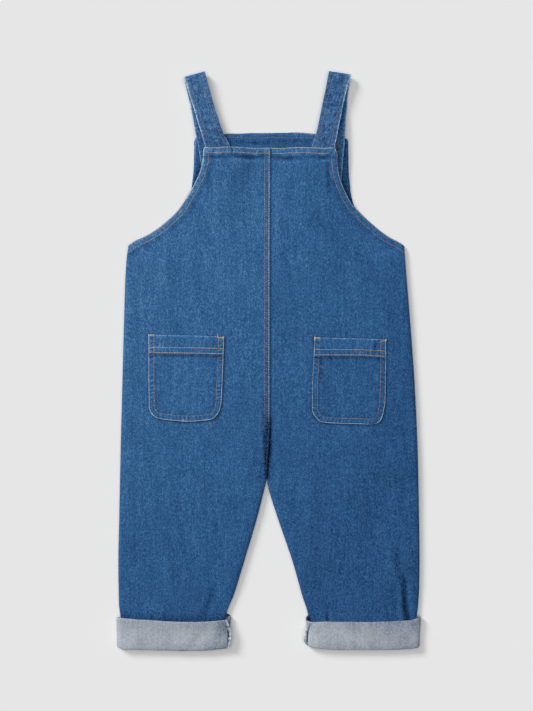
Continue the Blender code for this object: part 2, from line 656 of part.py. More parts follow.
# ---------------------------------------------------------------- buttons
def button_piece(side_name):
    """A jeans button: domed cap outside the bib, shank through cloth, flat tack inside."""
    place = button_place(STRAPS[side_name])
    tack_under = strap_front_level(place) + STRAP_THICK + SEAM_GAP
    profile = (
        (0.0, 0.0), (CAP_RADIUS - 1.4, 0.0), (CAP_RADIUS - 0.3, 0.35), (CAP_RADIUS, 0.8),
        (CAP_RADIUS - 0.2, 1.3), (CAP_RADIUS - 1.0, CAP_HEIGHT), (SHANK_RADIUS, CAP_HEIGHT),
        (SHANK_RADIUS, tack_under), (TACK_RADIUS - 0.2, tack_under),
        (TACK_RADIUS, tack_under + 0.3), (TACK_RADIUS - 0.6, tack_under + TACK_HEIGHT),
        (0.0, tack_under + TACK_HEIGHT),
    )
    sides = BUTTON_SIDES
    shell = bmesh.new()
    rings = []
    for radius, height in profile:
        if radius == 0.0:
            rings.append([shell.verts.new((place.x, place.y, height))])
            continue
        ring = []
        for i in range(sides):
            turn = 2.0 * math.pi * i / sides
            ring.append(shell.verts.new((place.x + radius * math.cos(turn),
                                         place.y + radius * math.sin(turn), height)))
        rings.append(ring)
    for here, there in zip(rings, rings[1:]):
        for i in range(sides):
            j = (i + 1) % sides
            corners = [here[i % len(here)], here[j % len(here)], there[j % len(there)],
                       there[i % len(there)]]
            shell.faces.new(list(dict.fromkeys(corners)))
    return finish_mesh("button_" + side_name, shell, BRASS, 0.45, 0.9)


def cut_button_holes(pieces, side_name):
    """Opens each layer round a button's shank."""
    place = button_place(STRAPS[side_name])
    bpy.ops.mesh.primitive_cylinder_add(
        vertices=BUTTON_SIDES, radius=(SHANK_RADIUS + SEAM_GAP) * MM,
        depth=(HOLE_TOP - HOLE_BOTTOM) * MM,
        location=(place.x * MM, place.y * MM, 0.5 * (HOLE_TOP + HOLE_BOTTOM) * MM))
    cutter = bpy.context.object
    cutter.name = "hole_cutter_" + side_name
    cutter.hide_render = True
    cutter.display_type = "WIRE"
    for piece in pieces:
        cut = piece.modifiers.new("button_hole_" + side_name, "BOOLEAN")
        cut.operation = "DIFFERENCE"
        cut.object = cutter


# ---------------------------------------------------------------- pockets
POCKETS = {
    # corners of the opening, then of the bottom before it is rounded, and the bottom's sag
    "left": {"top_outer": (-132.8, 29.2), "top_inner": (-49.2, 26.6),
             "low_outer": (-133.2, -61.5), "low_inner": (-52.6, -64.5),
             "sag": 4.6, "outer_radius": 13.0, "inner_radius": 13.0},
    "right": {"top_outer": (129.8, 23.8), "top_inner": (49.8, 26.3),
              "low_outer": (128.0, -68.0), "low_inner": (46.8, -66.0),
              "sag": 2.6, "outer_radius": 11.0, "inner_radius": 11.0},
}
POCKET_SIDE_COLUMNS = (0.0, 1.2, 5.0, 9.0, 14.0)
POCKET_ROWS = (0.0, 1.2, 10.0, 19.0, 21.0, 36.0, 52.0, 68.0)
POCKET_LOW_ROWS = (14.0, 9.0, 5.0, 1.2, 0.0)
POCKET_MIDDLE_STEPS = 5
ABOVE_ALL = 0.1            # metres: where the search for the cloth below starts


def pocket_piece(side_name, panel):
    """A patch pocket, made from the height of the panel that it is sewn on."""
    shape = POCKETS[side_name]
    corners = {key: Vector(shape[key]) for key in ("top_outer", "top_inner", "low_outer", "low_inner")}
    tree = BVHTree.FromObject(panel, bpy.context.evaluated_depsgraph_get())
    height = (corners["top_outer"] - corners["low_outer"]).length
    width = (corners["top_outer"] - corners["top_inner"]).length
    downs = list(POCKET_ROWS) + [height - rise for rise in POCKET_LOW_ROWS]
    spots = list(POCKET_SIDE_COLUMNS)
    inside = POCKET_SIDE_COLUMNS[-1]
    spots += [mix(inside, width - inside, i / POCKET_MIDDLE_STEPS) for i in range(1, POCKET_MIDDLE_STEPS)]
    spots += [width - distance for distance in POCKET_SIDE_COLUMNS[::-1]]
    upper, lower = [], []
    for down in downs:
        top_row, low_row = [], []
        for spot in spots:
            across, rise = spot, height - down
            if spot < 0.5 * width:
                across, rise = round_corner(spot, height - down, shape["outer_radius"])
            else:
                rounded = round_corner(width - spot, height - down, shape["inner_radius"])
                across, rise = width - rounded[0], rounded[1]
            share = across / width
            edge_top = corners["top_outer"].lerp(corners["top_inner"], share)
            edge_low = corners["low_outer"].lerp(corners["low_inner"], share)
            place = edge_low.lerp(edge_top, rise / height)
            place.y -= shape["sag"] * (1.0 - (2.0 * share - 1.0) ** 2) * (1.0 - rise / height) ** 3
            above = Vector((place.x * MM, place.y * MM, ABOVE_ALL))
            hit = tree.ray_cast(above, Vector((0.0, 0.0, -1.0)))
            level = hit[0].z / MM + SEAM_GAP
            border = max(min(spot, width - spot, height - down), 0.0)
            thick = POCKET_BORDER if border < POCKET_BORDER_WIDTH else POCKET_THICK
            thick = POCKET_HEM if down < POCKET_HEM_DEPTH else thick
            thick = POCKET_EDGE if min(border, down) == 0.0 else thick
            low_row.append(Vector((place.x, place.y, level)))
            top_row.append(Vector((place.x, place.y, level + thick)))
        upper.append(top_row)
        lower.append(low_row)
    return wall_between("pocket_" + side_name, upper, lower, DENIM_BLUE)


# ---------------------------------------------------------------- rolled cuffs
CUFFS = {
    # x of both sides at the top and at the bottom, and heights of the edges:
    # at the outer side, the middle and the inner side, on top, then under, then along the bottom
    "left": {"outer_x": (-166.8, -165.8), "inner_x": (-41.8, -43.8),
             "top": (-279.6, -286.8, -282.6), "under": (-279.0, -278.0, -275.8), "bottom": -318.4},
    "right": {"outer_x": (166.9, 164.6), "inner_x": (40.4, 41.6),
              "top": (-281.4, -286.6, -285.8), "under": (-281.0, -279.0, -277.4), "bottom": -317.0},
}
CUFF_FLAT_STEPS = 8
CUFF_MIDDLE_ROW = 16.0     # down from the top edge
CUFF_SEAM_FLAT = 2.2       # how far the inseam allowance reaches onto the cuff's flat top
CUFF_SEAM_ANGLES = (90.0, 64.0, 38.0, 14.0)
CUFF_SEAM_ROWS = (1.6, 8.0, 16.0, 24.0, -1.6)
NEARLY = 1e-6              # marks a distance as measured from the bottom edge
CUFF_TURN_ANGLES = (60.0, 30.0, 0.0, -30.0, -60.0)
CUFF_EDGE_ROUND = ((0.0, 0.5), (0.35, 0.15), (1.2, 0.0))   # (down from the edge mm, share of the wall)


def cuff_stations():
    """Round the cuff: share of its width, angle of the surface, and share towards the underside."""
    stations = []
    for i in range(CUFF_FLAT_STEPS):
        stations.append((i / (CUFF_FLAT_STEPS - 1), 90.0, 0.0))
    for angle in CUFF_TURN_ANGLES:
        stations.append((1.0, angle, 0.5 - angle / 180.0))
    for i in range(CUFF_FLAT_STEPS):
        stations.append((1.0 - i / (CUFF_FLAT_STEPS - 1), -90.0, 1.0))
    for angle in CUFF_TURN_ANGLES[::-1]:
        stations.append((0.0, angle, 0.5 - angle / 180.0))
    return stations


def cuff_point(shape, station, down, sunk):
    """A point of the cuff at a distance below its top edge, sunk so far under its outer surface."""
    share, angle, under = station
    radius = 0.5 * CUFF_HEIGHT
    turn = math.radians(angle)
    edges = []
    for key in ("top", "under"):
        outer_y, middle_y, inner_y = shape[key]
        sag = middle_y - 0.5 * (outer_y + inner_y)
        edges.append(mix(outer_y, inner_y, share) + sag * (1.0 - (2.0 * share - 1.0) ** 2))
    top_y = mix(edges[0], edges[1], under)
    length = top_y - shape["bottom"]
    y = top_y - (down if down >= 0.0 else length + down)
    lean = (top_y - y) / length
    outer_x = mix(*shape["outer_x"], lean)
    inner_x = mix(*shape["inner_x"], lean)
    way = 1.0 if inner_x > outer_x else -1.0
    start, end = outer_x + way * radius, inner_x - way * radius
    bulge = math.cos(turn) * (way if share > 0.5 else -way)
    x = mix(start, end, share) + (radius - sunk) * bulge
    return Vector((x, y, radius + (radius - sunk) * math.sin(turn)))


def cuff_piece(side_name):
    """The leg end rolled up: a flattened ring with round edges, wrong side of the cloth out."""
    shape = CUFFS[side_name]
    stations = cuff_stations()
    path = []
    for down, share in CUFF_EDGE_ROUND:
        path.append((down, share * CUFF_WALL))
    path.append((CUFF_MIDDLE_ROW, 0.0))
    for down, share in CUFF_EDGE_ROUND[::-1]:
        path.append((-down - NEARLY, share * CUFF_WALL))
    for down, share in CUFF_EDGE_ROUND[1:]:
        path.append((-down - NEARLY, (1.0 - share) * CUFF_WALL))
    path.append((CUFF_MIDDLE_ROW, CUFF_WALL))
    for down, share in CUFF_EDGE_ROUND[:0:-1]:
        path.append((down, (1.0 - share) * CUFF_WALL))
    loops = [[cuff_point(shape, station, down, sunk) for down, sunk in path] for station in stations]
    return ring_wall("cuff_" + side_name, loops, DENIM_WRONG_SIDE)


def cuff_seam(side_name):
    """The overlocked inseam allowance, turned out with the cuff, along its inner side."""
    shape = CUFFS[side_name]
    first = 1.0 - CUFF_SEAM_FLAT / abs(shape["inner_x"][0] - shape["outer_x"][0])
    stations = [(first, 90.0, 0.0)] + [(1.0, angle, 0.0) for angle in CUFF_SEAM_ANGLES]
    upper = [[cuff_point(shape, station, down, -SEAM_GAP - ALLOWANCE) for station in stations]
             for down in CUFF_SEAM_ROWS]
    lower = [[cuff_point(shape, station, down, -SEAM_GAP) for station in stations]
             for down in CUFF_SEAM_ROWS]
    return wall_between("cuff_seam_" + side_name, upper, lower, DENIM_WRONG_SIDE)


# ---------------------------------------------------------------- the garment
def main():
    for old in list(bpy.data.objects):
        bpy.data.objects.remove(old, do_unlink=True)
    facing = bib_facing()
    for side_name in ("left", "right"):
        front = front_panel(side_name)
        back = back_panel(side_name)
        strap = strap_piece(side_name)
        button_piece(side_name)
        cut_button_holes((front, facing, strap), side_name)
        pocket_piece(side_name, back)
        cuff_piece(side_name)
        cuff_seam(side_name)


main()
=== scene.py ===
# %% [markdown]
# # Child's denim dungarees, laid face down
#
# This lesson dresses a plain model of a pair of dungarees: the cloth gets its weave, hems,
# puckers and creases, and every seam gets its real stitches. The plain model comes in first as
# a fixed frame, and each new piece takes its outline and its height from it, so that nothing
# has to be fitted afterwards.

# %% Load the frame
import math

import bmesh
import bpy
import numpy as np
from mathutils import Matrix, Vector, geometry
from mathutils.bvhtree import BVHTree


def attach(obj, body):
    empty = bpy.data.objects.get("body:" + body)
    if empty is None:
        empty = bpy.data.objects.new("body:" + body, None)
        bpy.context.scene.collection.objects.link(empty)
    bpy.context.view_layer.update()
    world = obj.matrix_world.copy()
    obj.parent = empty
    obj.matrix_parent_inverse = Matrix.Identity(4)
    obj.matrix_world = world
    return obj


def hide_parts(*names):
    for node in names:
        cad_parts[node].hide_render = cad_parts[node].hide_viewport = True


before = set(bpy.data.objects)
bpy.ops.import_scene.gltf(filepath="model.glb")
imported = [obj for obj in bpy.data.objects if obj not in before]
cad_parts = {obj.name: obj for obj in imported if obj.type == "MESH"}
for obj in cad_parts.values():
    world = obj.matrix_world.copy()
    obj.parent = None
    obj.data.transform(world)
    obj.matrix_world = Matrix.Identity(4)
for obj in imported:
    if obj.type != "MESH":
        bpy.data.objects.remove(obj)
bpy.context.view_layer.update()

MM = 0.001
TURN = 2 * math.pi
SIDES = ("left", "right")

# %% [markdown]
# ## Camera, floor and light
#
# The garment lies flat, so the camera hangs straight above it. A long lens keeps the sides of
# the cloth from showing. The floor is a plain pale sheet. A wide soft sun from the upper left
# gives the short soft shadows to the right and below, and an even grey sky fills them.


# %% Camera
def placed(name, data):
    """A new object in the scene."""
    made = bpy.data.objects.new(name, data)
    bpy.context.scene.collection.objects.link(made)
    return made


VIEW_TALL = 782.1 * MM  # what the camera sees, from the lower to the upper edge
VIEW_CENTRE = (-2.75 * MM, 6.05 * MM)
CLOTH_TOP = 6 * MM  # the height that the framing is worked out for
LENS = 100
SENSOR = 36

camera = placed("camera", bpy.data.cameras.new("camera"))
camera.data.lens = LENS
camera.data.sensor_width = SENSOR
camera.location = (*VIEW_CENTRE, CLOTH_TOP + VIEW_TALL * LENS / SENSOR)
bpy.context.scene.camera = camera
print("camera at", [round(v, 3) for v in camera.location])


# %% Small helpers for colour and nodes
def colour(code):
    """An sRGB hex value as the linear colour that Blender works in."""
    parts = [int(code[i:i + 2], 16) / 255 for i in (1, 3, 5)]
    return [p / 12.92 if p <= 0.04045 else ((p + 0.055) / 1.055) ** 2.4 for p in parts] + [1]


def add(tree, kind, sockets=None, **settings):
    """Adds a node with its settings, and gives each named socket a value or a link."""
    made = tree.nodes.new(kind)
    for name, value in settings.items():
        setattr(made, name, value)
    for name, value in (sockets or {}).items():
        if isinstance(value, bpy.types.NodeSocket):
            tree.links.new(value, made.inputs[name])
        else:
            made.inputs[name].default_value = value
    return made


def new_material(name, settings):
    """A material with its Principled shader's settings: it, its node tree and the shader."""
    material = bpy.data.materials.new(name)
    material.use_nodes = True
    shader = material.node_tree.nodes["Principled BSDF"]
    for socket, value in settings.items():
        shader.inputs[socket].default_value = value
    return material, material.node_tree, shader


# %% Floor
bpy.ops.object.select_all(action="DESELECT")
bpy.ops.mesh.primitive_plane_add(size=8)
floor = bpy.context.object
floor.name = "floor"
matt = {"Base Color": colour("#E6E6E6"), "Roughness": 1, "Specular IOR Level": 0}
floor.data.materials.append(new_material("matt_paper", matt)[0])

# %% Light
KEY_HEIGHT = math.radians(31)  # above the floor
KEY_FROM = math.radians(137)  # from the upper left, counted from +X
KEY_SHARE = 0.37  # of the light that reaches the floor
OVERHEAD_SHARE = 0.55


def soft_sun(name, height, way, width, share):
    """A sun as wide as a softbox, strong enough to give a share of the floor's light."""
    lamp = placed(name, bpy.data.lights.new(name, "SUN"))
    lamp.data.energy = math.pi * share / math.sin(height)
    lamp.data.angle = width
    towards = Vector((math.cos(height) * math.cos(way), math.cos(height) * math.sin(way), math.sin(height)))
    lamp.rotation_euler = towards.to_track_quat("Z", "Y").to_euler()
    print(name, "energy", round(lamp.data.energy, 2))


soft_sun("key_softbox", KEY_HEIGHT, KEY_FROM, math.radians(22), KEY_SHARE)
soft_sun("overhead_softbox", math.radians(90), 0, math.radians(60), OVERHEAD_SHARE)
world = bpy.data.worlds.new("even_sky")
bpy.context.scene.world = world
world.use_nodes = True
sky = world.node_tree.nodes["Background"]
sky.inputs["Color"].default_value = (1, 1, 1, 1)
sky.inputs["Strength"].default_value = 1 - KEY_SHARE - OVERHEAD_SHARE
bpy.context.scene.view_settings.view_transform = "Standard"

# %% [markdown]
# ## Denim
#
# Denim is a twill: blue warp threads run down the garment and pass over the pale weft, so the
# right side is blue with a fine slant and the wrong side is nearly grey. Washing takes the dye
# off the tops of the threads, off the edges and off the ridges that form beside a seam. So one
# pattern of threads, streaks and blotches is made here, the cloth's own attribute of wear and
# painted shade is added to it, and the sum is looked up in a ramp of indigo. Besides the wear,
# that attribute holds painted shade, which is darker in creases, grooves and hollows and beside
# raised edges, and painted light, which is paler on some edges that turn to the light and
# follows the fall of the light across the garment.
# The real twill has a line every 0.5 mm, which is too fine for a view of the whole garment,
# so it is drawn four times as coarse and faint.

# %% Denim, right side
WAVE_PERIOD = TURN / 20  # of Blender's band pattern, at scale 1
WEFT = "#AAB4C4"  # the pale thread between the blue ones, and how much of it shows through the grain and through the wear and painted light
WEFT_IN_GRAIN = 5.5
WEFT_IN_WEAR_AND_SHADE = 2
TWILL_PITCH = 2 * MM
TWILL_SLANT = math.radians(27)


def stretched_noise(tree, place, size_x, size_y, detail=2, roughness=0.5):
    """Noise whose blotches are size_x across and size_y down, in millimetres."""
    scale = [1 / (size * MM) for size in (size_x, size_y, size_x)]
    spread = add(tree, "ShaderNodeMapping", {"Vector": place, "Scale": scale})
    return add(tree, "ShaderNodeTexNoise", {"Vector": spread.outputs["Vector"], "Scale": 1,
                                            "Detail": detail, "Roughness": roughness}).outputs["Fac"]


def weighted_sum(tree, parts, middle=0.5):
    """The middle plus each (pattern, weight, centre), the pattern counted from its own centre."""
    total = middle
    for pattern, weight, centre in parts:
        scaled = add(tree, "ShaderNodeMath", {0: pattern, 1: weight, 2: -centre * weight},
                     operation="MULTIPLY_ADD")
        total = add(tree, "ShaderNodeMath", {0: scaled.outputs[0], 1: total}, operation="ADD").outputs[0]
    return total


def ramp(tree, value, stops):
    """A colour ramp through (place, hex colour) stops."""
    made = add(tree, "ShaderNodeValToRGB", {"Fac": value})
    points = made.color_ramp.elements
    while len(points) < len(stops):
        points.new(0.5)
    for point, (place, code) in zip(points, stops):
        point.position = place
        point.color = colour(code)
    return made.outputs["Color"]


def woven(name, weights, stops, roughness, weft=0):
    """A twill cloth: threads, streaks and blotches in the given weights, looked up in the stops."""
    material, tree, shader = new_material(name, {
        "Roughness": roughness, "Specular IOR Level": 0.04, "Sheen Weight": 0.04, "Sheen Roughness": 0.5,
        "Sheen Tint": colour("#B9CCE4")})
    place = add(tree, "ShaderNodeTexCoord").outputs["Object"]
    turned = add(tree, "ShaderNodeMapping", {"Vector": place, "Rotation": (0, 0, TWILL_SLANT)})
    patterns = {
        "grain": stretched_noise(tree, place, 1.4, 2.8, 1),
        "speck": stretched_noise(tree, place, 1.3, 1.5, 0),
        "streak": stretched_noise(tree, place, 2.4, 42, 2, 0.6),
        "blotch": stretched_noise(tree, place, 11, 24, 3),
        "twill": add(tree, "ShaderNodeTexWave", {
            "Vector": turned.outputs["Vector"], "Scale": WAVE_PERIOD / TWILL_PITCH, "Distortion": 1.6,
            "Detail": 1, "Detail Scale": 1.5}, wave_type="BANDS", bands_direction="X").outputs["Fac"]}
    wear_and_shade = add(tree, "ShaderNodeAttribute", attribute_name="wear_and_shade").outputs["Fac"]
    parts = [(patterns[key], weight, 0.5) for key, weight in weights.items()] + [(wear_and_shade, 1, 0)]
    grain, speck = patterns["grain"], patterns["speck"]
    peeping = weighted_sum(tree, [(grain, WEFT_IN_GRAIN * weft, 0.5), (speck, WEFT_IN_GRAIN * weft, 0.5),
                                  (wear_and_shade, WEFT_IN_WEAR_AND_SHADE * weft, 0)], weft)
    dyed = ramp(tree, weighted_sum(tree, parts), stops)
    mixed = add(tree, "ShaderNodeMixRGB", {"Fac": peeping, "Color1": dyed, "Color2": colour(WEFT)})
    tree.links.new(mixed.outputs["Color"], shader.inputs["Base Color"])
    height = weighted_sum(tree, [(grain, 0.5, 0.5), (patterns["twill"], 0.5, 0.5)])
    raised = add(tree, "ShaderNodeBump", {"Height": height, "Strength": 0.35, "Distance": 0.25 * MM})
    tree.links.new(raised.outputs["Normal"], shader.inputs["Normal"])
    return material


INDIGO = ((0, "#030F2B"), (0.25, "#153961"), (0.5, "#295685"), (0.6, "#336494"), (0.75, "#517CA6"),
          (0.9, "#8BAAC6"), (1, "#CAD9E5"))
WARP = {"grain": 0.33, "speck": 0.32, "streak": 0.25, "blotch": 0.18, "twill": 0.05}
denim = woven("washed_denim", WARP, INDIGO, 0.92, 0.015)
rubbed_denim = woven("rubbed_strap_denim", WARP, INDIGO, 0.92, 0.048)  # more weft peeps through
print("denim:", len(denim.node_tree.nodes), "nodes")

# %% [markdown]
# The wrong side shows the pale weft with specks of blue between its threads. The rolled cuffs
# and the insides show it.

# %% Denim, wrong side
WEFT_GREY = ((0, "#2B3446"), (0.25, "#6F7A8A"), (0.5, "#969DA7"), (0.75, "#B2B8C0"), (1, "#DDE0E3"))
BACKS = {"grain": 0.34, "speck": 0.32, "streak": 0.14, "blotch": 0.32, "twill": 0.08}
denim_inside = woven("denim_wrong_side", BACKS, WEFT_GREY, 0.94)
print("wrong side:", len(denim_inside.node_tree.nodes), "nodes")


# %% [markdown]
# ## Sewing thread
#
# Topstitching thread is a plied polyester core, smooth and a little shiny. The rows are sewn in
# a tan that the wash has dulled, paler where a row sits on a worn edge, and the bar tacks that
# hold the pocket corners are packed so close that they stay bright.

# %% Threads
def thread(name, dark, middle, pale, uneven=0.5):
    """Plied thread, uneven along its length, and as worn or as shaded as the cloth beneath it."""
    material, tree, shader = new_material(name, {"Roughness": 0.6, "Sheen Weight": 0.1})
    place = add(tree, "ShaderNodeTexCoord").outputs["Object"]
    patch = stretched_noise(tree, place, 3, 3)
    wear_and_shade = add(tree, "ShaderNodeAttribute", attribute_name="wear_and_shade").outputs["Fac"]
    value = weighted_sum(tree, [(patch, uneven, 0.5), (wear_and_shade, 1.2, 0)])
    tree.links.new(ramp(tree, value, ((0, dark), (0.5, middle), (0.9, pale))), shader.inputs["Base Color"])
    return material


threads = {
    "tan": thread("tan_thread", "#2F2826", "#95806A", "#D2CBC0"),
    "pale": thread("washed_pale_thread", "#2A2C30", "#AFABA4", "#DDDBD4"),
    "orange": thread("pocket_hem_thread", "#3A2C22", "#AC967C", "#DCCBB0"),
    # the tack at the bib's corner sits in shadow: its thread is painted near black, partly its own brown and
    # partly painted shade
    "dark": thread("shaded_tack_thread", "#100D0B", "#33261A", "#6B4F27", 0.9),
    "bright": thread("bar_tack_thread", "#4A3A20", "#BC9459", "#E6CF9C", 0.9),
    "overlock": thread("overlock_thread", "#1F3246", "#7A96AC", "#DCE3E6", 1.5),
}
print("threads:", ", ".join(threads))

# %% [markdown]
# ## From the frame to a fine cloth surface
#
# Each panel of the frame is a thin closed wall with large flat faces. A real panel is a smooth
# sheet with small relief. So its outline is read from above, drawn as smooth curves between its
# corners, and filled with an even net of small triangles. The net takes its height from a
# softened copy of the frame's own piece, and then the creases and hems are pressed into it.

# %% Copies of the frame's pieces
SHARP_EDGE = math.radians(50)


def merged(node):
    """A copy of a frame piece in millimetres, its loose triangles joined and paired up."""
    shape = bmesh.new()
    shape.from_mesh(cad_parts[node].data)
    bmesh.ops.scale(shape, vec=Vector((1, 1, 1)) / MM, verts=shape.verts)
    bmesh.ops.remove_doubles(shape, verts=shape.verts, dist=0.001)
    bmesh.ops.join_triangles(shape, faces=shape.faces, angle_face_threshold=math.radians(60),
                             angle_shape_threshold=math.radians(110))
    return shape


def softened(shape, levels):
    """Subdivides a shape so that it becomes round, with its sharp edges kept."""
    crease = shape.edges.layers.float.new("crease_edge")
    for edge in shape.edges:
        if edge.calc_face_angle(0) > SHARP_EDGE:
            edge[crease] = 1
    mesh = bpy.data.meshes.new("softened")
    shape.to_mesh(mesh)
    shape.free()
    piece = placed("softened", mesh)
    bpy.ops.object.select_all(action="DESELECT")
    bpy.context.view_layer.objects.active = piece
    soft = piece.modifiers.new("soft", "SUBSURF")
    soft.levels = soft.render_levels = levels
    bpy.ops.object.modifier_apply(modifier=soft.name)
    result = bmesh.new()
    result.from_mesh(piece.data)
    bpy.data.objects.remove(piece)
    return result


# %% Outlines
UPWARD = 0.15  # a face that looks up by more than this belongs to the top of a piece
CORNER = math.radians(28)
SPIKE = math.radians(150)
SAME_PLACE = 0.25  # mm


def strides(loop):
    """The way to each point of a closed outline, and the way on from it."""
    return loop - np.roll(loop, 1, 0), np.roll(loop, -1, 0) - loop


def turns(loop):
    """How far a closed outline turns at each of its points."""
    before, after = strides(loop)
    cross = before[:, 0] * after[:, 1] - before[:, 1] * after[:, 0]
    return np.arctan2(cross, (before * after).sum(1))


def outline(node):
    """The outer edge of a piece as seen from above, anticlockwise, in millimetres."""
    shape = merged(node)
    up = {face for face in shape.faces if face.normal.z > UPWARD}
    ways = {}
    for edge in shape.edges:
        if sum(face in up for face in edge.link_faces) == 1:
            first, second = edge.verts
            ways.setdefault(first, []).append(second)
            ways.setdefault(second, []).append(first)
    loops = []
    while ways:
        loop = [next(iter(ways))]
        while loop[-1] in ways:
            loop += [v for v in ways.pop(loop[-1]) if v in ways][:1]
        loops.append(np.array([v.co[:2] for v in loop]))
    shape.free()
    loop = max(loops, key=lambda points: np.ptp(points, 0).sum())
    spikes = True
    while spikes:
        loop = loop[np.hypot(*(loop - np.roll(loop, 1, 0)).T) > SAME_PLACE]
        spikes = bool((abs(turns(loop)) > SPIKE).any())
        loop = loop[abs(turns(loop)) <= SPIKE]
    if turns(loop).sum() < 0:
        loop = loop[::-1]
    return loop


def smooth_outline(loop, cell):
    """The outline with its stretches between corners as smooth curves, in steps of about a cell."""
    corner = abs(turns(loop)) > CORNER
    count = len(loop)
    before, after = strides(loop)
    reach = np.linalg.norm(before, axis=1)[:, None], np.linalg.norm(after, axis=1)[:, None]
    through = (before / reach[0] * reach[1] + after / reach[1] * reach[0]) / (reach[0] + reach[1])
    points = []
    for i in range(count):
        j = (i + 1) % count
        length = reach[1][i]
        leave = after[i] / length if corner[i] else through[i]
        arrive = after[i] / length if corner[j] else through[j]
        steps = max(1, round(float(length[0]) / cell))
        for k in range(steps):
            t = k / steps
            points.append(loop[i] * (2 * t ** 3 - 3 * t ** 2 + 1) + leave * length * (t ** 3 - 2 * t ** 2 + t)
                          + loop[j] * (3 * t ** 2 - 2 * t ** 3) + arrive * length * (t ** 3 - t ** 2))
    return np.array(points)


BIB_NUDGES = ((-44, 249, 13, 0, 1.6), (5, 250, 14, 0, 1.1), (42, 249, 16, 0, 1.3))
NUDGES = {
    # millimetres: middle of the stretch of edge that moves, how far round it, and its move
    "back_left_panel": (
        (-60, 236, 14, 0, 0.8), (-40, 236, 12, 0, 0.4), (-10, 236, 24, 0, 1.45), (-73, 232, 7, -1, 0),
        (-75, 218, 8, -0.5, 0), (-111, 155, 12, -0.7, 0.7), (-148, 131, 8, -0.3, 0.9),
        (0, 130, 70, -0.35, 0), (-2, -65, 40, 0.9, 0), (-2.4, -132, 8, 0, 4)),
    "back_right_panel": (
        (2, 236, 24, 0, 1.45), (48, 236, 20, 0, -2.3), (73.5, 235, 4, -1, 0), (75, 226, 6, 1.2, 0),
        (77, 217, 8, 1, 0), (97, 166, 10, 0.6, 0.6), (112, 150, 14, 0.3, 0.35), (-2.4, -132, 8, 0, 4)),
    "front_left_panel": (*BIB_NUDGES, (-2.4, -132, 8, 0, 1.8)),
    "front_right_panel": (*BIB_NUDGES, (88, 200, 40, -0.4, 0), (-2.4, -132, 8, 0, 1.8)),
    "bib_facing": (*BIB_NUDGES, (88, 200, 40, -0.4, 0)),
    "pocket_left": (
        (-133, -40, 14, 0.8, 0), (-52, -5, 40, 0.4, 0), (-68, -62, 14, 0, 1.4), (-75, 27, 30, 0, 0.35),
        (-102, -66, 24, 0, 0.7), (-55, -58, 9, -1.5, 0.4)),
    "pocket_right": (
        (50, -22, 30, -1, 0), (129, 18, 9, -0.8, 0), (113, -66, 10, 0, -1.1), (64, -63, 14, 0, -0.4),
        (126, -59, 8, -2, 1.2), (50, -63, 7, 1.4, 0.6)),
}


def cut_edge(node, cell):
    """A piece's outline as it lies: a smoothing hand leaves it a millimetre out here and there."""
    edge = smooth_outline(outline(node), cell)
    shifts = np.zeros(edge.shape)
    for x, y, reach, *move in NUDGES.get(node, ()):
        share = np.exp(-((edge[:, 0] - x) ** 2 + (edge[:, 1] - y) ** 2) / reach ** 2)
        shifts += share[:, None] * move
    return edge + shifts


def sideways(along):
    """The ways a quarter turn to the left of the given ones, of length 1."""
    along = along / np.linalg.norm(along, axis=1)[:, None]
    return np.stack([-along[:, 1], along[:, 0]], 1)


def inward(loop):
    """The way into the piece at each point of an anticlockwise outline."""
    return sideways(np.roll(loop, -1, 0) - np.roll(loop, 1, 0))


# %% Filling an outline with an even net
def inside(loop, points):
    """Which points lie inside a closed outline."""
    within = np.zeros(len(points), bool)
    for (ax, ay), (bx, by) in zip(loop, np.roll(loop, -1, 0)):
        if ay != by:
            level = (ay > points[:, 1]) != (by > points[:, 1])
            within ^= level & (points[:, 0] < (bx - ax) * (points[:, 1] - ay) / (by - ay) + ax)
    return within


def measure(path, x, y, closed=False):
    """Distance from each place to a path, and how far along the path the nearest point is."""
    ends = np.roll(path, -1, 0) if closed else path[1:]
    nearest = np.full(len(x), np.inf)
    along = np.zeros(len(x))
    start = 0
    for (ax, ay), (bx, by) in zip(path, ends):
        length = math.hypot(bx - ax, by - ay)
        if length > 0:
            share = np.clip(((x - ax) * (bx - ax) + (y - ay) * (by - ay)) / length ** 2, 0, 1)
            gap = np.hypot(x - ax - share * (bx - ax), y - ay - share * (by - ay))
            closer = gap < nearest
            nearest[closer] = gap[closer]
            along[closer] = start + share[closer] * length
        start += length
    return nearest, along


def net(loop, cell):
    """Fills an outline with triangles: the points, the triangles, and where the outline's are."""
    low, high = loop.min(0), loop.max(0)
    rows = np.arange(low[1], high[1], cell * math.sqrt(0.75))
    lattice = []
    for number, y in enumerate(rows):
        across = np.arange(low[0] + 0.5 * cell * (number % 2), high[0], cell)
        lattice.append(np.stack([across, np.full(len(across), y)], 1))
    lattice = np.concatenate(lattice)
    lattice = lattice[inside(loop, lattice)]
    gap, _ = measure(loop, lattice[:, 0], lattice[:, 1], closed=True)
    lattice = lattice[gap > 0.55 * cell]
    points = np.concatenate([loop, lattice])
    count = len(loop)
    edges = [(i, (i + 1) % count) for i in range(count)]
    filled = geometry.delaunay_2d_cdt([Vector(p) for p in points], edges, [list(range(count))], 1, 1e-5)
    spots = np.array([v[:] for v in filled[0]])
    rim = np.zeros(count, int)
    for number, sources in enumerate(filled[3]):
        for source in sources:
            if source < count:
                rim[source] = number
    return spots, [tuple(face) for face in filled[2]], rim


# %% Heights from the softened piece
FAR = 60  # mm, from where the rays start
BESIDE = 2  # mm, how far beside a place its nearest surface may lie


def level(tree, spots, from_above):
    """The height of a surface at each place, as seen from above or from below."""
    start, way = (FAR, -1) if from_above else (-FAR, 1)
    heights = np.empty(len(spots))
    for number, (x, y) in enumerate(spots):
        hit = tree.ray_cast(Vector((x, y, start)), Vector((0, 0, way)))[0]
        if hit is None:
            guess = tree.find_nearest(Vector((x, y, 0)))[0]
            hit = tree.find_nearest(Vector((x, y, start)), FAR * 2)[0]
            if hit is None or math.hypot(hit.x - x, hit.y - y) > BESIDE:
                hit = guess
        heights[number] = hit.z
    return heights
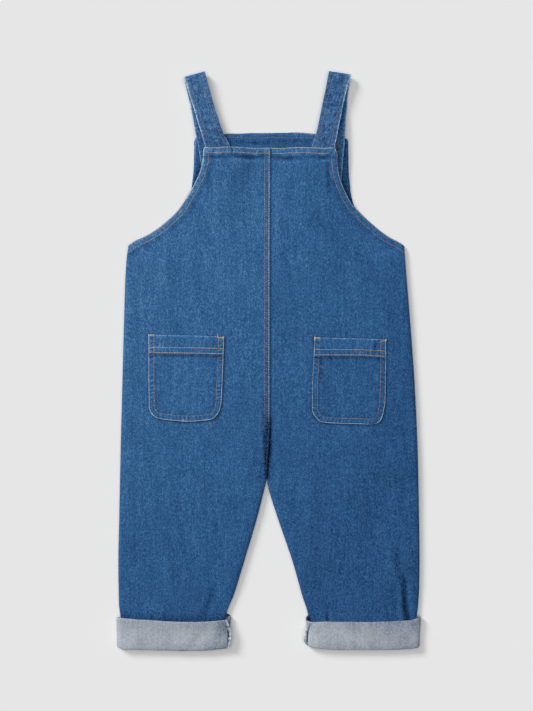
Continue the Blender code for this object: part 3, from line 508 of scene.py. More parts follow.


# %% [markdown]
# ## Creases and hems
#
# Every soft form is a height added to the cloth. A crease is a trough along a given line, with a
# low lip on each side. A hem is sewn with two rows: the needle pulls the cloth down along each
# row, and the layers between them creep, which leaves the row of small slanting puckers that
# washing then rubs pale. Each form also says how much paler or darker the cloth is made there:
# paler where it is worn, and where painted light stands for an edge or lip turned to the light;
# darker where painted shade stands for the shade in creases, grooves and hollows and beside
# raised edges. The lists of forms further down name the function that makes a form, and then
# its values.

# %% Soft forms
WAVES = 6


def ease(low, high, value):
    """0 below low, 1 above high, and a soft step between them."""
    share = np.clip((value - low) / (high - low), 0, 1)
    return share * share * (3 - 2 * share)


def wander(x, y, size, seed):
    """A smooth uneven swell, mostly between -1 and 1, whose humps are about size mm wide."""
    draw = np.random.default_rng(seed)
    total = np.zeros(len(x))
    for _ in range(WAVES):
        way, stretch, phase = draw.uniform(0, TURN), draw.uniform(1.4, 3), draw.uniform(0, 7)
        total += np.sin((x * math.cos(way) + y * math.sin(way)) * TURN / (size * stretch) + phase)
    return total / math.sqrt(WAVES)


def fall(gap, width):
    """1 on a line, and falling off softly beside it."""
    return np.exp(-(gap / width) ** 2)


def crease(path, depth, width, lip, wear_and_shade_amount, x, y):
    """A trough along a line, deepest in its middle, gone at its ends: height, and painted shade and light."""
    gap, along = measure(np.array(path, float), x, y)
    share = along / max(along.max(), 0.001)
    strength = np.sin(np.pi * np.clip(share, 0, 1)) ** 0.7
    trough, side = fall(gap, width), fall(gap - 2.1 * width, width)
    return depth * strength * (lip * side - trough), wear_and_shade_amount * strength * (trough - 0.35 * side)


def patch(corners, rise, wear_and_shade_amount, soft, x, y):
    """A flat place in a ring of corners, given anticlockwise, with soft edges: height, and wear and painted
    shade.
    """
    within = np.full(len(x), np.inf)
    for (ax, ay), (bx, by) in zip(corners, corners[1:] + corners[:1]):
        reach = math.hypot(bx - ax, by - ay)
        within = np.minimum(within, ((bx - ax) * (y - ay) - (by - ay) * (x - ax)) / reach)
    share = ease(-soft, soft, within)
    return rise * share, wear_and_shade_amount * share


def shade(path, width, wear_and_shade_amount, x, y):
    """A line of darker or paler cloth along a path, for wear and for painted shade and light."""
    gap, _ = measure(np.array(path, float), x, y)
    return np.zeros(len(x)), wear_and_shade_amount * fall(gap, width)


# %% Hems
PUCKER_PITCH = 4.6  # mm from one pucker to the next
PUCKER_HIGH, DRAG_HIGH, ROW_DEEP = 0.2, 0.12, 0.16  # mm, where the relief is 1
ROW_WIDE, RUBBED_WIDE, SHADE_WIDE = 0.75, 0.95, 1.7  # mm: a row's groove, the worn edge, the shade
HEM_REACH = 16  # mm past the last row, where a hem's forms have ended
HEMS = {
    # relief; wear of the edge, the band and its puckers; painted shade inside the last row, and how far in
    "bib": (1, 0.27, 0.02, 0.06, 0.13, 4.2),
    "left_armhole": (1, 0.06, 0.05, 0.05, 0.1, 4),
    "right_armhole": (1, 0.08, 0.02, 0.05, 0.06, 3),
    "lap": (0.8, 0.12, -0.02, 0.06, 0.05, 2.2),
    "pocket": (0.9, 0.26, 0, 0.12, 0.06, 1.8),
    "opening": (0.5, 0, 0.02, 0.05, 0.18, 2.8),
    "front": (0.7, 0.2, 0.04, 0.08, 0.08, 2.4),
    "facing": (0.8, 0.12, 0.02, 0.08, 0.08, 3.6),
}


def hem(path, rows, look, seed, x, y):
    """A sewn edge with rows at the given distances from it: its height, and its wear and painted shade."""
    relief, edge_wear, band, pucker_wear, shaded, shade_at = HEMS[look]
    height, wear_and_shade = np.zeros(len(x)), np.zeros(len(x))
    reach = rows[-1] + HEM_REACH
    low, high = path.min(0) - reach, path.max(0) + reach
    near = (x > low[0]) & (x < high[0]) & (y > low[1]) & (y < high[1])
    gap, along = measure(path, x[near], y[near])
    none = np.zeros(len(along))
    beat = along / PUCKER_PITCH + 0.3 * wander(along, none, 12, seed) + 0.05 * gap
    uneven = np.clip(0.62 + 0.42 * wander(along, none, 15, seed + 1), 0.1, 1.2)
    pucker = np.sin(TURN * beat) * uneven
    between = ease(0.2, 1.6, gap) * (1 - ease(rows[-1] - 0.4, rows[-1] + 0.8, gap))
    slow = np.sin(np.pi * beat * 0.62 + 1.3) * uneven
    drag = ease(rows[-1], rows[-1] + 1.5, gap) * (1 - ease(rows[-1] + 2, rows[-1] + 12, gap))
    sunk = sum(fall(gap - row, ROW_WIDE) for row in rows)
    below = fall(gap - rows[-1] - shade_at, SHADE_WIDE)
    rubbed = fall(gap, RUBBED_WIDE) * np.clip(0.75 + 0.35 * wander(along, none, 9, seed + 2), 0.1, 1.1)
    height[near] = relief * (PUCKER_HIGH * pucker * between + DRAG_HIGH * slow * drag - ROW_DEEP * sunk)
    # the band, the puckers and the edge are worn pale; along the rows and inside the last row the cloth is
    # painted darker, as shade
    wear_and_shade[near] = (band * between + pucker_wear * pucker * between + 0.05 * slow * drag - 0.05 * sunk
                  - shaded * below + edge_wear * rubbed)
    return height, wear_and_shade


# %% Cloth piece maker
ROUND = (math.radians(50), 0, math.radians(-50))  # places round a folded edge
FOLD_RADIUS = 0.45  # mm
TURNED_HEM = 8  # mm of the right side that shows inside, where a hem is turned under
PLAIN = 5  # mm, the cell of the side that doesn't show
LIFT = 0.02  # mm, by which the lower side clears the floor
surfaces = {}


def pressed(forms, way, x, y, height, wear_and_shade):
    """Heights, and the wear and painted shade, with a list of soft forms added, each a maker and its values.
    """
    for kind, *values in forms:
        rise, wear = kind(*values, x, y)
        height, wear_and_shade = height + way * rise, wear_and_shade + wear
    return height, wear_and_shade


def cloth(name, node, cell, shows_below, creases, details):
    """A thin closed sheet on a frame piece: a fine net on its show side, a plain one behind it."""
    edge = cut_edge(node, cell)
    inset = edge + FOLD_RADIUS * inward(edge)
    form = softened(merged(node), 2)
    tree = BVHTree.FromBMesh(form)
    form.free()
    sides, points, faces, stuff, wear_and_shades = [], [], [], [], []
    first, count = 0, len(edge)
    for from_above in (True, False):
        shows = from_above != shows_below
        spots, triangles, rim = net(inset, cell if shows else PLAIN)
        x, y = spots.T
        height, wear_and_shade = pressed(creases, 1, x, y, level(tree, spots, from_above), np.zeros(len(x)))
        if shows:
            height, wear_and_shade = pressed(details, 1 if from_above else -1, x, y, height, wear_and_shade)
        if not from_above:
            height = np.maximum(height, LIFT)
        sides.append((rim + first, height[rim], wear_and_shade[rim]))
        points.append(np.column_stack([x, y, height]))
        wear_and_shades.append(wear_and_shade)
        turn = 1 if from_above else -1
        faces += [tuple(int(i) + first for i in face)[::turn] for face in triangles]
        gap, _ = measure(edge, *spots[np.array(triangles)].mean(1).T, closed=True)
        stuff += [0 if shows or reach < TURNED_HEM else 1 for reach in gap]
        first += len(x)
    (top_rim, top_height, top_wear_and_shade), (low_rim, low_height, low_wear_and_shade) = sides
    middle, half = 0.5 * (top_height + low_height), 0.5 * (top_height - low_height)
    rows = [top_rim]
    for angle in ROUND:
        place = edge + FOLD_RADIUS * (1 - math.cos(angle)) * inward(edge)
        points.append(np.column_stack([place, middle + half * math.sin(angle)]))
        wear_and_shades.append(low_wear_and_shade if shows_below else top_wear_and_shade)
        rows.append(np.arange(count) + first)
        first += count
    rows.append(low_rim)
    for upper, lower in zip(rows[:-1], rows[1:]):
        for i in range(count):
            j = (i + 1) % count
            faces.append((int(upper[i]), int(lower[i]), int(lower[j]), int(upper[j])))
    stuff += [0] * (len(faces) - len(stuff))
    return finish_piece(name, np.concatenate(points), faces, np.concatenate(wear_and_shades),
                        (denim, denim_inside), node, stuff)


def finish_piece(name, points, faces, wear_and_shades, materials, node=None, stuff=None):
    """Makes the object from points in millimetres, none below the floor, in its frame piece's place."""
    points[:, 2] = np.maximum(points[:, 2], 0)
    mesh = bpy.data.meshes.new(name)
    mesh.from_pydata([tuple(p) for p in points * MM], [], faces)
    for material in materials:
        mesh.materials.append(material)
    mesh.polygons.foreach_set("material_index", stuff or [0] * len(faces))
    mesh.polygons.foreach_set("use_smooth", [True] * len(faces))
    mesh.attributes.new("wear_and_shade", "FLOAT", "POINT").data.foreach_set("value", wear_and_shades)
    mesh.validate()
    mesh.update()
    piece = placed(name, mesh)
    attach(piece, "root")
    if node:
        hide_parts(node)
    surfaces[name] = BVHTree.FromPolygons([Vector(p) for p in points], faces), faces, wear_and_shades
    area = sum(face.area for face in mesh.polygons) / 2
    print(f"{name}: {sum(len(f) - 2 for f in faces)} triangles, one side {area:.4f} m2")
    return piece


# %% Where the edges run
def ways_round(loop, start, end):
    """The two parts of a closed outline between its points nearest to two places."""
    first = int(np.argmin(np.hypot(*(loop - start).T)))
    last = int(np.argmin(np.hypot(*(loop - end).T)))
    return (np.roll(loop, -first, 0)[:(last - first) % len(loop) + 1],
            np.roll(loop, -last, 0)[:(first - last) % len(loop) + 1][::-1])


def stretch(loop, start, end):
    """The shorter part of a closed outline between two places."""
    ways = ways_round(loop, start, end)
    return min(ways, key=lambda way: np.linalg.norm(np.diff(way, axis=0), axis=1).sum())


FINE, POCKET_CELL, FRONT_FINE, FACING_CELL = 1.35, 1.1, 2.2, 1.5  # mm, the cells of each net
PANEL_CORNERS = {
    # places on each outline: bib corner, foot of the armhole, top and foot of the centre seam
    "back_left": ((-71.5, 234.9), (-154.8, 128.8), (1.6, 235.1), (-2.6, -128)),
    "back_right": ((72.4, 233.8), (149.1, 127.9), (-5, 235.2), (-2.2, -128)),
    "front_left": ((-80.8, 246), (-154.6, 128), (2.9, 250.3), (-2.6, -128)),
    "front_right": ((85.9, 245), (149.1, 127.9), (3.2, 250.3), (-2.2, -128)),
}
POCKET_TOPS = {"left": ((-132.8, 29.2), (-49.2, 26.6)), "right": ((129.8, 23.8), (49.8, 26.3))}
CUFF_TOPS = {"left": ((-166.8, -279.1), (-44, -282)), "right": ((42, -286), (166.8, -280.9))}
HEM_LIFT = {"left": ((-133, -49), (-0.45, 0.45)), "right": ((50, 103, 130), (0.2, 1.75, 1))}
CUFF_SAG = {
    # places across, and how far the top edge and the foot rise there, and how far they reach out
    "left": {"top": ((-166, -146, -130, -110, -80, -54, -44), (-3.3, -1.4, 0.3, 0.4, 0, -1.9, -2.2)),
             "foot": ((-166, -159, -131, -98, -70, -54, -44), (3.8, 1, 0.1, -0.2, 0.1, 1.6, 3)),
             "top_side": ((-166, -150), (-1.4, 0)), "foot_side": ((-166, -150), (-1.4, 0))},
    "right": {"top": ((49, 62, 76, 102, 128, 142, 155, 163, 167),
                      (-1.2, 0.2, 0.6, 0, -1.4, -2.2, -3.3, -1.8, 0)),
              "foot": ((39, 45, 49, 62, 78, 122, 155, 163, 166), (5, 2.8, 1.6, 0.2, -0.6, -1, 0, 1.5, 4)),
              "top_side": ((150, 166), (0, 0.2)), "foot_side": ((150, 166), (0, 1.5))},
}
edges = {}
for key, (bib, foot, neck, crotch) in PANEL_CORNERS.items():
    loop = cut_edge(f"{key}_panel", FINE if key[0] == "b" else FRONT_FINE)
    edges[key] = {"armhole": stretch(loop, bib, foot), "top": stretch(loop, bib, neck),
                  "centre": stretch(loop, neck, crotch)}
    hole = edges[key]["armhole"]
    edges[key]["past_armhole"] = np.vstack([hole, hole[-1] + 2 * (hole[-1] - hole[-4])])
for side, (outer, inner) in POCKET_TOPS.items():
    loop = cut_edge(f"pocket_{side}", POCKET_CELL)
    opening = stretch(loop, outer, inner)
    lift = np.interp(opening[:, 0], *HEM_LIFT[side])
    edges[f"pocket_{side}"] = {"opening": opening, "around": max(ways_round(loop, outer, inner), key=len),
                               "turned": opening + np.column_stack([np.zeros(len(lift)), lift])}
for side, (start, end) in CUFF_TOPS.items():
    top = stretch(cut_edge(f"cuff_{side}", FINE), start, end)
    top[:, 1] += np.interp(top[:, 0], *CUFF_SAG[side]["top"])
    edges[f"cuff_{side}"] = {"top": top}
print("edges of", ", ".join(edges))

# %% [markdown]
# ## Back panels
#
# The back is the side that shows. Two panels run from the bib to the leg ends and meet in a
# lapped centre seam with two rows. Their armholes and the top of the bib are turned twice and
# sewn with two rows as well. The creases are those of a garment that was smoothed out by hand:
# a deep dark groove where the seam dives into the crotch, drag lines under the bib's hem where
# the straps pull, a sharp fold above one cuff, and long faint ripples down the legs. The sewn
# ends of the straps lie inside the bib's hem and stand out through it as two paler places.
# The groove and the creases are painted darker as well, as their shade, and the fall of the light from the
# upper left is painted across the panels, darker to the right and down the legs.

# %% Creases of the back
HEM_ROWS = (0.9, 6.4)
LAP_ROWS = (1.5, 6.3)
BACK_CREASES = (
    # line, depth, width, lip height as a share of the depth, painted shade in the trough and light on the
    # lips
    (((-59, -246), (-64, -262), (-73, -284)), 1.2, 3.2, 0.3, -0.1),
    (((147, -232), (148.6, -256), (149.7, -272), (151.6, -282), (153, -330)), 0.5, 2.9, 0, -0.32),
    (((138, -196), (141, -222), (145, -250)), 0.6, 3.6, 0.3, -0.09),
    (((136, -234), (138, -245), (141, -258)), 0.4, 2.6, 0.3, -0.05),
    (((63.6, -275), (64.2, -283), (64.8, -296)), 0.6, 1.5, 0.3, -0.24),
    (((64, 221), (64.4, 212), (66, 200), (66, 182)), 0.7, 1.9, 0.4, -0.16),
    (((-42, 227), (-30, 224), (-17, 223.6), (-8, 225)), 0.8, 1.9, 0.4, -0.2),
    (((8, 223.5), (22, 222.2), (38, 223)), 0.8, 1.9, 0.4, -0.18),
    (((54, 223.2), (60, 222.6), (66, 224)), 0.7, 1.7, 0.3, -0.14),
    (((-66, 224), (-60, 223.3), (-50, 224.2)), 0.5, 1.7, 0.3, -0.12),
    (((-68, 214), (-64, 196), (-66, 176)), 0.5, 2.6, 0.3, -0.05),
    (((-18, -150), (-42, -158), (-70, -160)), 0.5, 6, 0.2, -0.04),
    (((14, -148), (36, -157), (60, -158)), 0.5, 6, 0.2, -0.04),
)
STRAP_ENDS = (
    # corners anticlockwise
    ((-70.8, 225.6), (-41.8, 225.8), (-41.8, 233.2), (-70.8, 233.2)),
    ((42.2, 225.2), (68.4, 225), (68.4, 232.4), (43.9, 232.2)),
)
LEG_CORNERS = (
    # the shaded corner of each leg where it enters its cuff, anticlockwise
    ((-49.6, -284.8), (-41, -284), (-44.8, -275.2)),
    ((38.5, -287), (46.6, -287), (41.4, -275.6)),
)
PAINTED_SHADE_LINES = (
    # a line down each panel along which the cloth is painted darker, as painted shade where the light falls
    # off: how wide, and how much
    (((-110, -190), (-104, -280)), 42, -0.03),
    (((46, 210), (62, 140), (150, 60), (154, -120)), 26, -0.03),
)
GROOVE_DEEP = 1.4  # mm
GROOVE_SHADE = -0.3
GROOVE = ((0.6, -40), (0.6, -75), (0.4, -92), (-0.5, -110), (-0.9, -120), (-1.5, -134))


def ripples(x, y):
    """Long faint ripples down the cloth, and a slow unevenness all over it."""
    down = wander(x, y * 0.12, 17, 5)
    slow = wander(x, y, 52, 8)
    return 0.16 * down + 0.22 * slow, 0.015 * down


def painted_light_falloff(x, y):
    """Painted light and shade: paler towards the bib and the left side, darker towards the right leg's end,
    as the light from the upper left falls off.
    """
    return np.zeros(len(x)), 0.004 - 0.00042 * x + 0.00028 * (y + 20)


def crotch_groove(x, y):
    """The seam sinks between the legs, and its groove is painted dark as shade."""
    gap, _ = measure(np.array(GROOVE), x, y)
    strength = ease(-48, -84, y) * (1 - ease(-128, -136, y))
    width = 4 - 1.6 * ease(-96, -122, y)
    trough = fall(gap, width)
    return -GROOVE_DEEP * strength * trough, GROOVE_SHADE * strength * trough


back_forms = [(crease, *row) for row in BACK_CREASES] + [(ripples,), (painted_light_falloff,), (crotch_groove,)]

# %% Back panel pieces
UPPER_ARMHOLE = 180  # mm, above this the armhole's edge stands free and rubs pale
SIDE_DETAILS = {
    # the lap's hem; painted shade beside the groove's rows and the lap's edge; painted shade and light at the
    # straps' ends and beside a crease
    "left": [(hem, edges["back_left"]["centre"], LAP_ROWS, "lap", 106),
             (shade, ((-5.4, -40), (-5.2, -60), (-4.8, -84)), 2, -0.13),
             (shade, ((-4.6, -84), (-4.4, -104), (-4.2, -124)), 1.6, -0.17),
             (shade, ((-1.2, -66), (-2, -110), (-2.6, -130)), 1.4, -0.16),
             (shade, ((-41.2, 234), (-41, 226)), 0.8, -0.24)],
    "right": [(shade, edges["back_left"]["centre"], 1.5, -0.14),
              (shade, ((1, -62), (1, -104)), 1.4, -0.14),
              (shade, ((43, 232.4), (41.2, 226)), 0.7, 0.16),
              (shade, ((68.2, 217), (68, 200)), 0.9, 0.1)],
}
for number, side in enumerate(SIDES):
    own, pocket = edges[f"back_{side}"], edges[f"pocket_{side}"]
    seed = 100 + 20 * number  # each piece draws its puckers from seeds of its own
    free = own["armhole"][own["armhole"][:, 1] > UPPER_ARMHOLE]
    details = [(hem, own["armhole"], HEM_ROWS, f"{side}_armhole", seed),
               (hem, own["top"], HEM_ROWS, "bib", seed + 3),
               # painted shadow on the panel around the pocket and above its opening, and painted shade on the
               # leg above the cuff
               (shade, pocket["around"], 1.5, -0.12), (shade, pocket["opening"], 1.6, -0.08),
               (shade, edges[f"cuff_{side}"]["top"], 6.5, -0.17),
               (patch, STRAP_ENDS[number], 0.45, 0.03, 0.8), (patch, LEG_CORNERS[number], 0, -0.42, 0.8),
               (shade, *PAINTED_SHADE_LINES[number]), (shade, free, 0.9, (0.28, 0.16)[number])]
    cloth(f"back_{side}_cloth", f"back_{side}_panel", FINE, False, back_forms,
                        details + SIDE_DETAILS[side])

# %% [markdown]
# ## Pockets
#
# A patch pocket is one piece of denim with its opening hemmed and its other edges turned in and
# sewn down with two rows. The turned edges are thick, so they stand up and wear pale, most of
# all at the lower corners.

# %% Pocket pieces
POCKET_HEM_ROWS = {"left": (13.6, 19.4), "right": (14, 19.8)}
POCKET_CORNERS = {"left": ((-130, -59), (-94, -65.5), (-55, -62)),
                  "right": ((61.5, -64.5), (107.5, -69), (122.5, -63))}
POCKET_FORMS = {
    # painted shade along the side that faces the light, so it shows no pale edge; a darker place in the top
    # corner; a crease with painted shade
    "left": ((shade, ((-133.2, 22), (-133.2, -52)), 1.2, -0.14),
             (patch, ((-63, 18.5), (-58.4, 18.5), (-58.4, 27), (-63, 27)), 0, -0.1, 1.2)),
    "right": ((shade, ((49.8, 20), (47.2, -58)), 1.2, -0.1),
              (crease, ((118, 23), (116.4, 15), (115.6, 5)), 0.4, 1.7, 0.3, -0.22)),
}
for number, side in enumerate(SIDES):
    own = edges[f"pocket_{side}"]
    seed = 200 + 20 * number
    details = [(hem, own["around"], HEM_ROWS, "pocket", seed),
               (hem, own["turned"], POCKET_HEM_ROWS[side], "opening", seed + 5),
               (shade, own["opening"], 0.95, 0.3)]
    details += [(shade, ((x, y), (x + 0.1, y)), 2.2, 0.16) for x, y in POCKET_CORNERS[side]]
    cloth(f"pocket_{side}_cloth", f"pocket_{side}", POCKET_CELL, False,
                          [(ripples,), (painted_light_falloff,)], [*details, *POCKET_FORMS[side]])

# %% [markdown]
# ## Front panels and bib facing
#
# The front lies on the floor, so its right side faces down and only its bib reaches past the
# back. Inside the bib a facing of the same denim covers the raw edges.

# %% Front pieces
FRONT_CREASES = (
    # line, depth, width, lip height as a share of the depth, painted shade in the trough and light on the
    # lips
    (((-36, -190), (-52, -230), (-58, -280)), -0.7, 5, 0.1, -0.06),
    (((96, -180), (104, -225), (101, -285)), -0.8, 4.4, 0.1, -0.06),
    (((-30, 120), (-8, 112), (24, 116)), -0.5, 7, 0.1, -0.04),
)
front_forms = [(crease, *row) for row in FRONT_CREASES]
# painted light falloff, and painted shade where the front shows in the deep gap between the legs
front_forms += [(painted_light_falloff,), (shade, ((-2.4, -122), (-2.6, -136)), 6, -0.42)]
for number, side in enumerate(SIDES):
    own = edges[f"front_{side}"]
    seed = 300 + 20 * number
    details = [(hem, own["armhole"], HEM_ROWS, "front", seed), (hem, own["top"], HEM_ROWS, "front", seed + 3),
               (hem, own["centre"], LAP_ROWS, "lap", seed + 6)]
    cloth(f"front_{side}_cloth", f"front_{side}_panel", FRONT_FINE, True, front_forms, details)


# %% Bib facing
def facing_shade(x, y):
    """Painted shade: the inside of the bib lies low between the back's bib and the straps, so it is painted
    darker all over.
    """
    return np.zeros(len(x)), np.full(len(x), FACING_SHADE)


FACING_SHADE = -0.11
FACING_ROW = (4.2,)
loop = cut_edge("bib_facing", FACING_CELL)
facing_edges = [stretch(loop, (-80, 245.5), (84.6, 244.5)), stretch(loop, (-80, 245.5), (-92.9, 168)),
                stretch(loop, (84.6, 244.5), (94.6, 168))]
ARMHOLE_SHADOW_FROM = 160  # mm, the height from which the back's armhole casts a painted shadow on the facing
armhole_shadows = [edges[f"back_{side}"]["armhole"] for side in SIDES]
armhole_shadows = [hollow_shade[hollow_shade[:, 1] > ARMHOLE_SHADOW_FROM] for hollow_shade in armhole_shadows]
FACING_FORMS = (
    # painted shadows beside the armholes, the straps and the right border, a paler rim on the left, a crease
    # with painted shade
    (crease, ((-28, 240.5), (-12, 239.6), (4, 240)), 0.5, 1.5, 0.3, -0.12),
    (shade, armhole_shadows[0], 3.4, -0.26), (shade, armhole_shadows[1], 3.8, -0.2),
    (shade, ((82, 243), (86.2, 226), (87.6, 205), (92, 180)), 4.2, -0.16),
    (shade, ((-81.6, 244), (-82, 228), (-83.2, 210), (-88, 188)), 1.5, 0.26),
    (shade, ((-79.2, 240), (-79.2, 225), (-80, 205)), 1.3, -0.14),
)
facing_hems = [(hem, path, FACING_ROW, "facing", 400 + 3 * i) for i, path in enumerate(facing_edges)]
facing = cloth("bib_facing_cloth", "bib_facing", FACING_CELL, False, [(painted_light_falloff,), (facing_shade,)],
               [*facing_hems, *FACING_FORMS])

# %% [markdown]
# ## Straps, cuffs and seam allowances
#
# These are folded right round, so they can't be filled from above. Each is a copy of the frame's
# piece, cut into small cells and rounded by subdivision. The straps are tubes pressed flat with a
# row of stitches along each edge. The layers inside them shift in the wash, so their middle is
# mottled with pale lumps, and the outer edge, which rubs most, is worn almost white. The cuffs
# are the leg ends turned up, wrong side out.


# %% Cells for a folded piece
def sliced(shape, spacing):
    """Cuts a shape along evenly spaced planes across X and Y."""
    for axis in (0, 1):
        places = [v.co[axis] for v in shape.verts]
        place = min(places) + spacing
        while place < max(places) - 0.3 * spacing:
            spot, way = Vector(), Vector()
            spot[axis], way[axis] = place, 1
            bmesh.ops.bisect_plane(shape, geom=shape.verts[:] + shape.edges[:] + shape.faces[:],
                                   dist=0.02, plane_co=spot, plane_no=way)
            place += spacing
    return shape


def arrays(shape):
    """A shape's points, faces and normals as arrays and lists, and the shape freed."""
    shape.verts.index_update()
    points = np.array([v.co[:] for v in shape.verts])
    normals = np.array([v.normal[:] for v in shape.verts])
    faces = [tuple(v.index for v in face.verts) for face in shape.faces]
    shape.free()
    return points, faces, normals


# %% Straps
STRAP_HALF_WIDTH = 11
STRAP_FLARE = {"back": 1, "front": 0.4}  # mm by which each side gets wider
FLARED = (22, 77)  # mm from the fold, where that begins and ends
STRAP_ROW = 4.5  # mm, from the edge to the row of stitches
STRAPS = {
    # middle of the fold; how far each half leans from upright, in degrees; the edge that rubs most;
    # how far the left and the right end of the fold reach past the straight strap
    "left": {"fold": (-80.4, 312.9), "back": 16.6, "front": 11.2, "rubbed": -1, "reach": (-0.6, 0.5)},
    "right": {"fold": (77.1, 314.4), "back": -12.4, "front": -5.5, "rubbed": 1, "reach": (0.25, -0.2)},
}


def strap_way(side, half):
    """The way down a half of a strap, and the way across it to the right."""
    lean = math.radians(STRAPS[side][half])
    return np.array([math.sin(lean), -math.cos(lean)]), np.array([math.cos(lean), math.sin(lean)])


STRAP_SPREAD = {
    # places along Y, and how far the left and the right edge lie beyond the straight strap there
    ("left", "back"): ((234, 238.7, 244.2, 251.9, 260.7, 269.5, 278.3, 287.1, 295.9, 303.6, 312.4),
                       (-0.3, -0.3, -0.1, -0.2, -0.8, -0.8, -1, -1.5, -1.5, -1.5, -1.8),
                       (2.4, 2, 0.9, -1, -1.3, -1.3, -1.1, -1, -0.8, -0.5, -0.2)),
    ("left", "front"): ((210, 218.9, 226.6, 234.3, 239.8, 251.9, 269.5, 278.3, 287.1, 303.6, 312.4),
                        (-2.3, -1.9, -1.5, -1.1, -1.1, -1.1, -0.8, -1, -1.4, -1.9, -2.1), (0,) * 11),
    ("right", "back"): ((238.7, 244.2, 251.9, 260.7, 269.5, 278.3, 287.1, 295.9, 303.6, 312.4),
                        (-0.8, 0, 1.1, 0.9, 0.6, 0.2, -0.3, -0.3, -0.4, -0.9),
                        (0, 0, 0, -0.2, 0.1, 0, 0.2, 0.5, 0.6, 2.1)),
    ("right", "front"): ((200, 220, 239.8, 251.9, 269.5, 278.3, 287.1, 295.9, 303.6, 312.4),
                         (0, 0, 0, 0, 0, 0, 0, 0, -0.4, -0.9),
                         (2.2, 1.8, 1.8, 0.9, 0.6, 0.9, 0.4, 0.5, 1.2, 1.9)),
}
FOLD_REACH = 30  # mm below the fold, where the strap is in its straight place again
FOLD_ROUND = 5  # mm below the fold, where the cloth has gone round from one half to the other
STRAP_ARCH = (76, 40, 2.2)  # where it leaves the floor and where it is highest below the fold, and how high
STRAP_TONE = {"left": (0.07, 0.05, -0.03), "right": (0.01, -0.01, -0.01)}  # at its fold, 40 and 70 mm down
STRAP_PITCH = 5  # mm from one pucker to the next
OUTER_WEAR, INNER_WEAR, FOOT_WEAR = 0.42, 0.08, 0.3  # of the two edges, and of the inner one's end
UNDER_HALF_SHADE = {"left": -0.05, "right": -0.14}  # painted shade on the half underneath


def spread(side, half, y, share):
    """How far the cloth lies beyond the straight strap: share is -1 at its left edge, 1 at its right."""
    heights, left, right = STRAP_SPREAD[side, half]
    to_left, to_right = np.interp(y, heights, left), np.interp(y, heights, right)
    return 0.5 * ((1 - share) * to_left + (1 + share) * to_right)


def half_width(half, along):
    """Half the strap's width at a distance from its fold: it gets wider towards its ends."""
    return STRAP_HALF_WIDTH + STRAP_FLARE[half] * ease(*FLARED, along)


def strap_back(shape, fold_y):
    """The numbers of the points on a strap's back half, found by walking over its faces."""
    back = set()
    start = max((f for f in shape.faces if f.calc_center_median().y < fold_y - 20),
                key=lambda f: f.calc_center_median().z)
    walk = [start]
    seen = {start}
    while walk:
        face = walk.pop()
        back.update(v.index for v in face.verts)
        for edge in face.edges:
            for other in edge.link_faces:
                if other not in seen and other.calc_center_median().y < fold_y:
                    seen.add(other)
                    walk.append(other)
    return back


for number, side in enumerate(SIDES):
    shape = softened(merged(f"strap_{side}"), 3)
    fold = np.array(STRAPS[side]["fold"])
    shape.verts.index_update()
    back = strap_back(shape, fold[1] - FOLD_ROUND)
    points, faces, normals = arrays(shape)
    is_back = np.array([i in back for i in range(len(points))])
    height, wear_and_shade, moves = np.zeros(len(points)), np.zeros(len(points)), np.zeros((len(points), 3))
    for half, mine, seed in (("back", is_back, 505 + 10 * number), ("front", ~is_back, 500 + 10 * number)):
        down, across = strap_way(side, half)
        place = points[mine, :2] - fold
        along, wide = place @ down, place @ across
        gap = half_width(half, along) - abs(wide)
        row = fall(gap - STRAP_ROW, 0.7)
        beat = np.sin(TURN * (along / STRAP_PITCH + 0.3 * wander(along, np.zeros(len(along)), 14, seed)))
        band = ease(0.2, 1.4, gap) * (1 - ease(STRAP_ROW - 0.5, STRAP_ROW + 0.6, gap))
        middle = ease(STRAP_ROW + 0.2, STRAP_ROW + 2, gap)
        lumps = 0.6 * wander(wide, along * 0.8, 3.2, seed + 1) + 0.4 * wander(wide, along, 7, seed + 3)
        outside = wide * STRAPS[side]["rubbed"] > 0
        rub = np.where(outside, OUTER_WEAR, INNER_WEAR + FOOT_WEAR * ease(68, 76, along))
        uneven = np.clip(0.9 + 0.2 * wander(along, wide, 14, seed + 2), 0.5, 1.1)
        worn = rub * fall(gap, np.where(outside, 1.1 + 1.2 * ease(24, 4, along), 1.1)) * uneven
        height[mine] = 0.1 * beat * band + 0.1 * lumps * middle - 0.14 * row
        wear_and_shade[mine] = np.interp(along, (0, 40, 70), STRAP_TONE[side]) + worn
        # the puckers and lumps are worn paler and darker, and along the rows the cloth is painted darker, as
        # shade
        wear_and_shade[mine] += 0.06 * beat * band + 0.1 * lumps * middle - 0.06 * row
        if half == "front":
            wear_and_shade[mine] += UNDER_HALF_SHADE[side] * ease(8, 20, along)
        share = np.clip(wide / half_width(half, along), -1, 1)
        moves[mine, 0] = spread(side, half, points[mine, 1], share)
        moves[mine, 1] = np.interp(share, (-1, 1), STRAPS[side]["reach"]) * ease(FOLD_REACH, 0, along)
        moves[mine, 2] = STRAP_ARCH[2] * ease(*STRAP_ARCH[:2], along)
    points = points + normals * height[:, None] + moves
    finish_piece(f"strap_{side}_cloth", points, faces, wear_and_shade, (rubbed_denim,),
                                f"strap_{side}")

# %% Cuffs
CUFF_OPENING_SHADE = {
    # painted shade at the inner corners, where the turned-up layers open: corners anticlockwise
    "left": ((-48.8, -283), (-40.9, -279.4), (-45, -276.4)),
    "right": ((39.3, -285.3), (45, -286), (41.9, -277)),
}
CUFF_LIGHT_AND_SHADE = {
    # places across, and how much lighter or darker the cuff is painted there: painted light towards each
    # cuff's left end, which faces the light, and painted shade towards its right end
    "left": ((-166, -159, -145, -75, -62, -50), (0.14, 0.12, 0.02, 0, -0.1, -0.2)),
    "right": ((42, 50, 62, 120, 155), (0.1, 0.1, 0, -0.06, -0.1)),
}
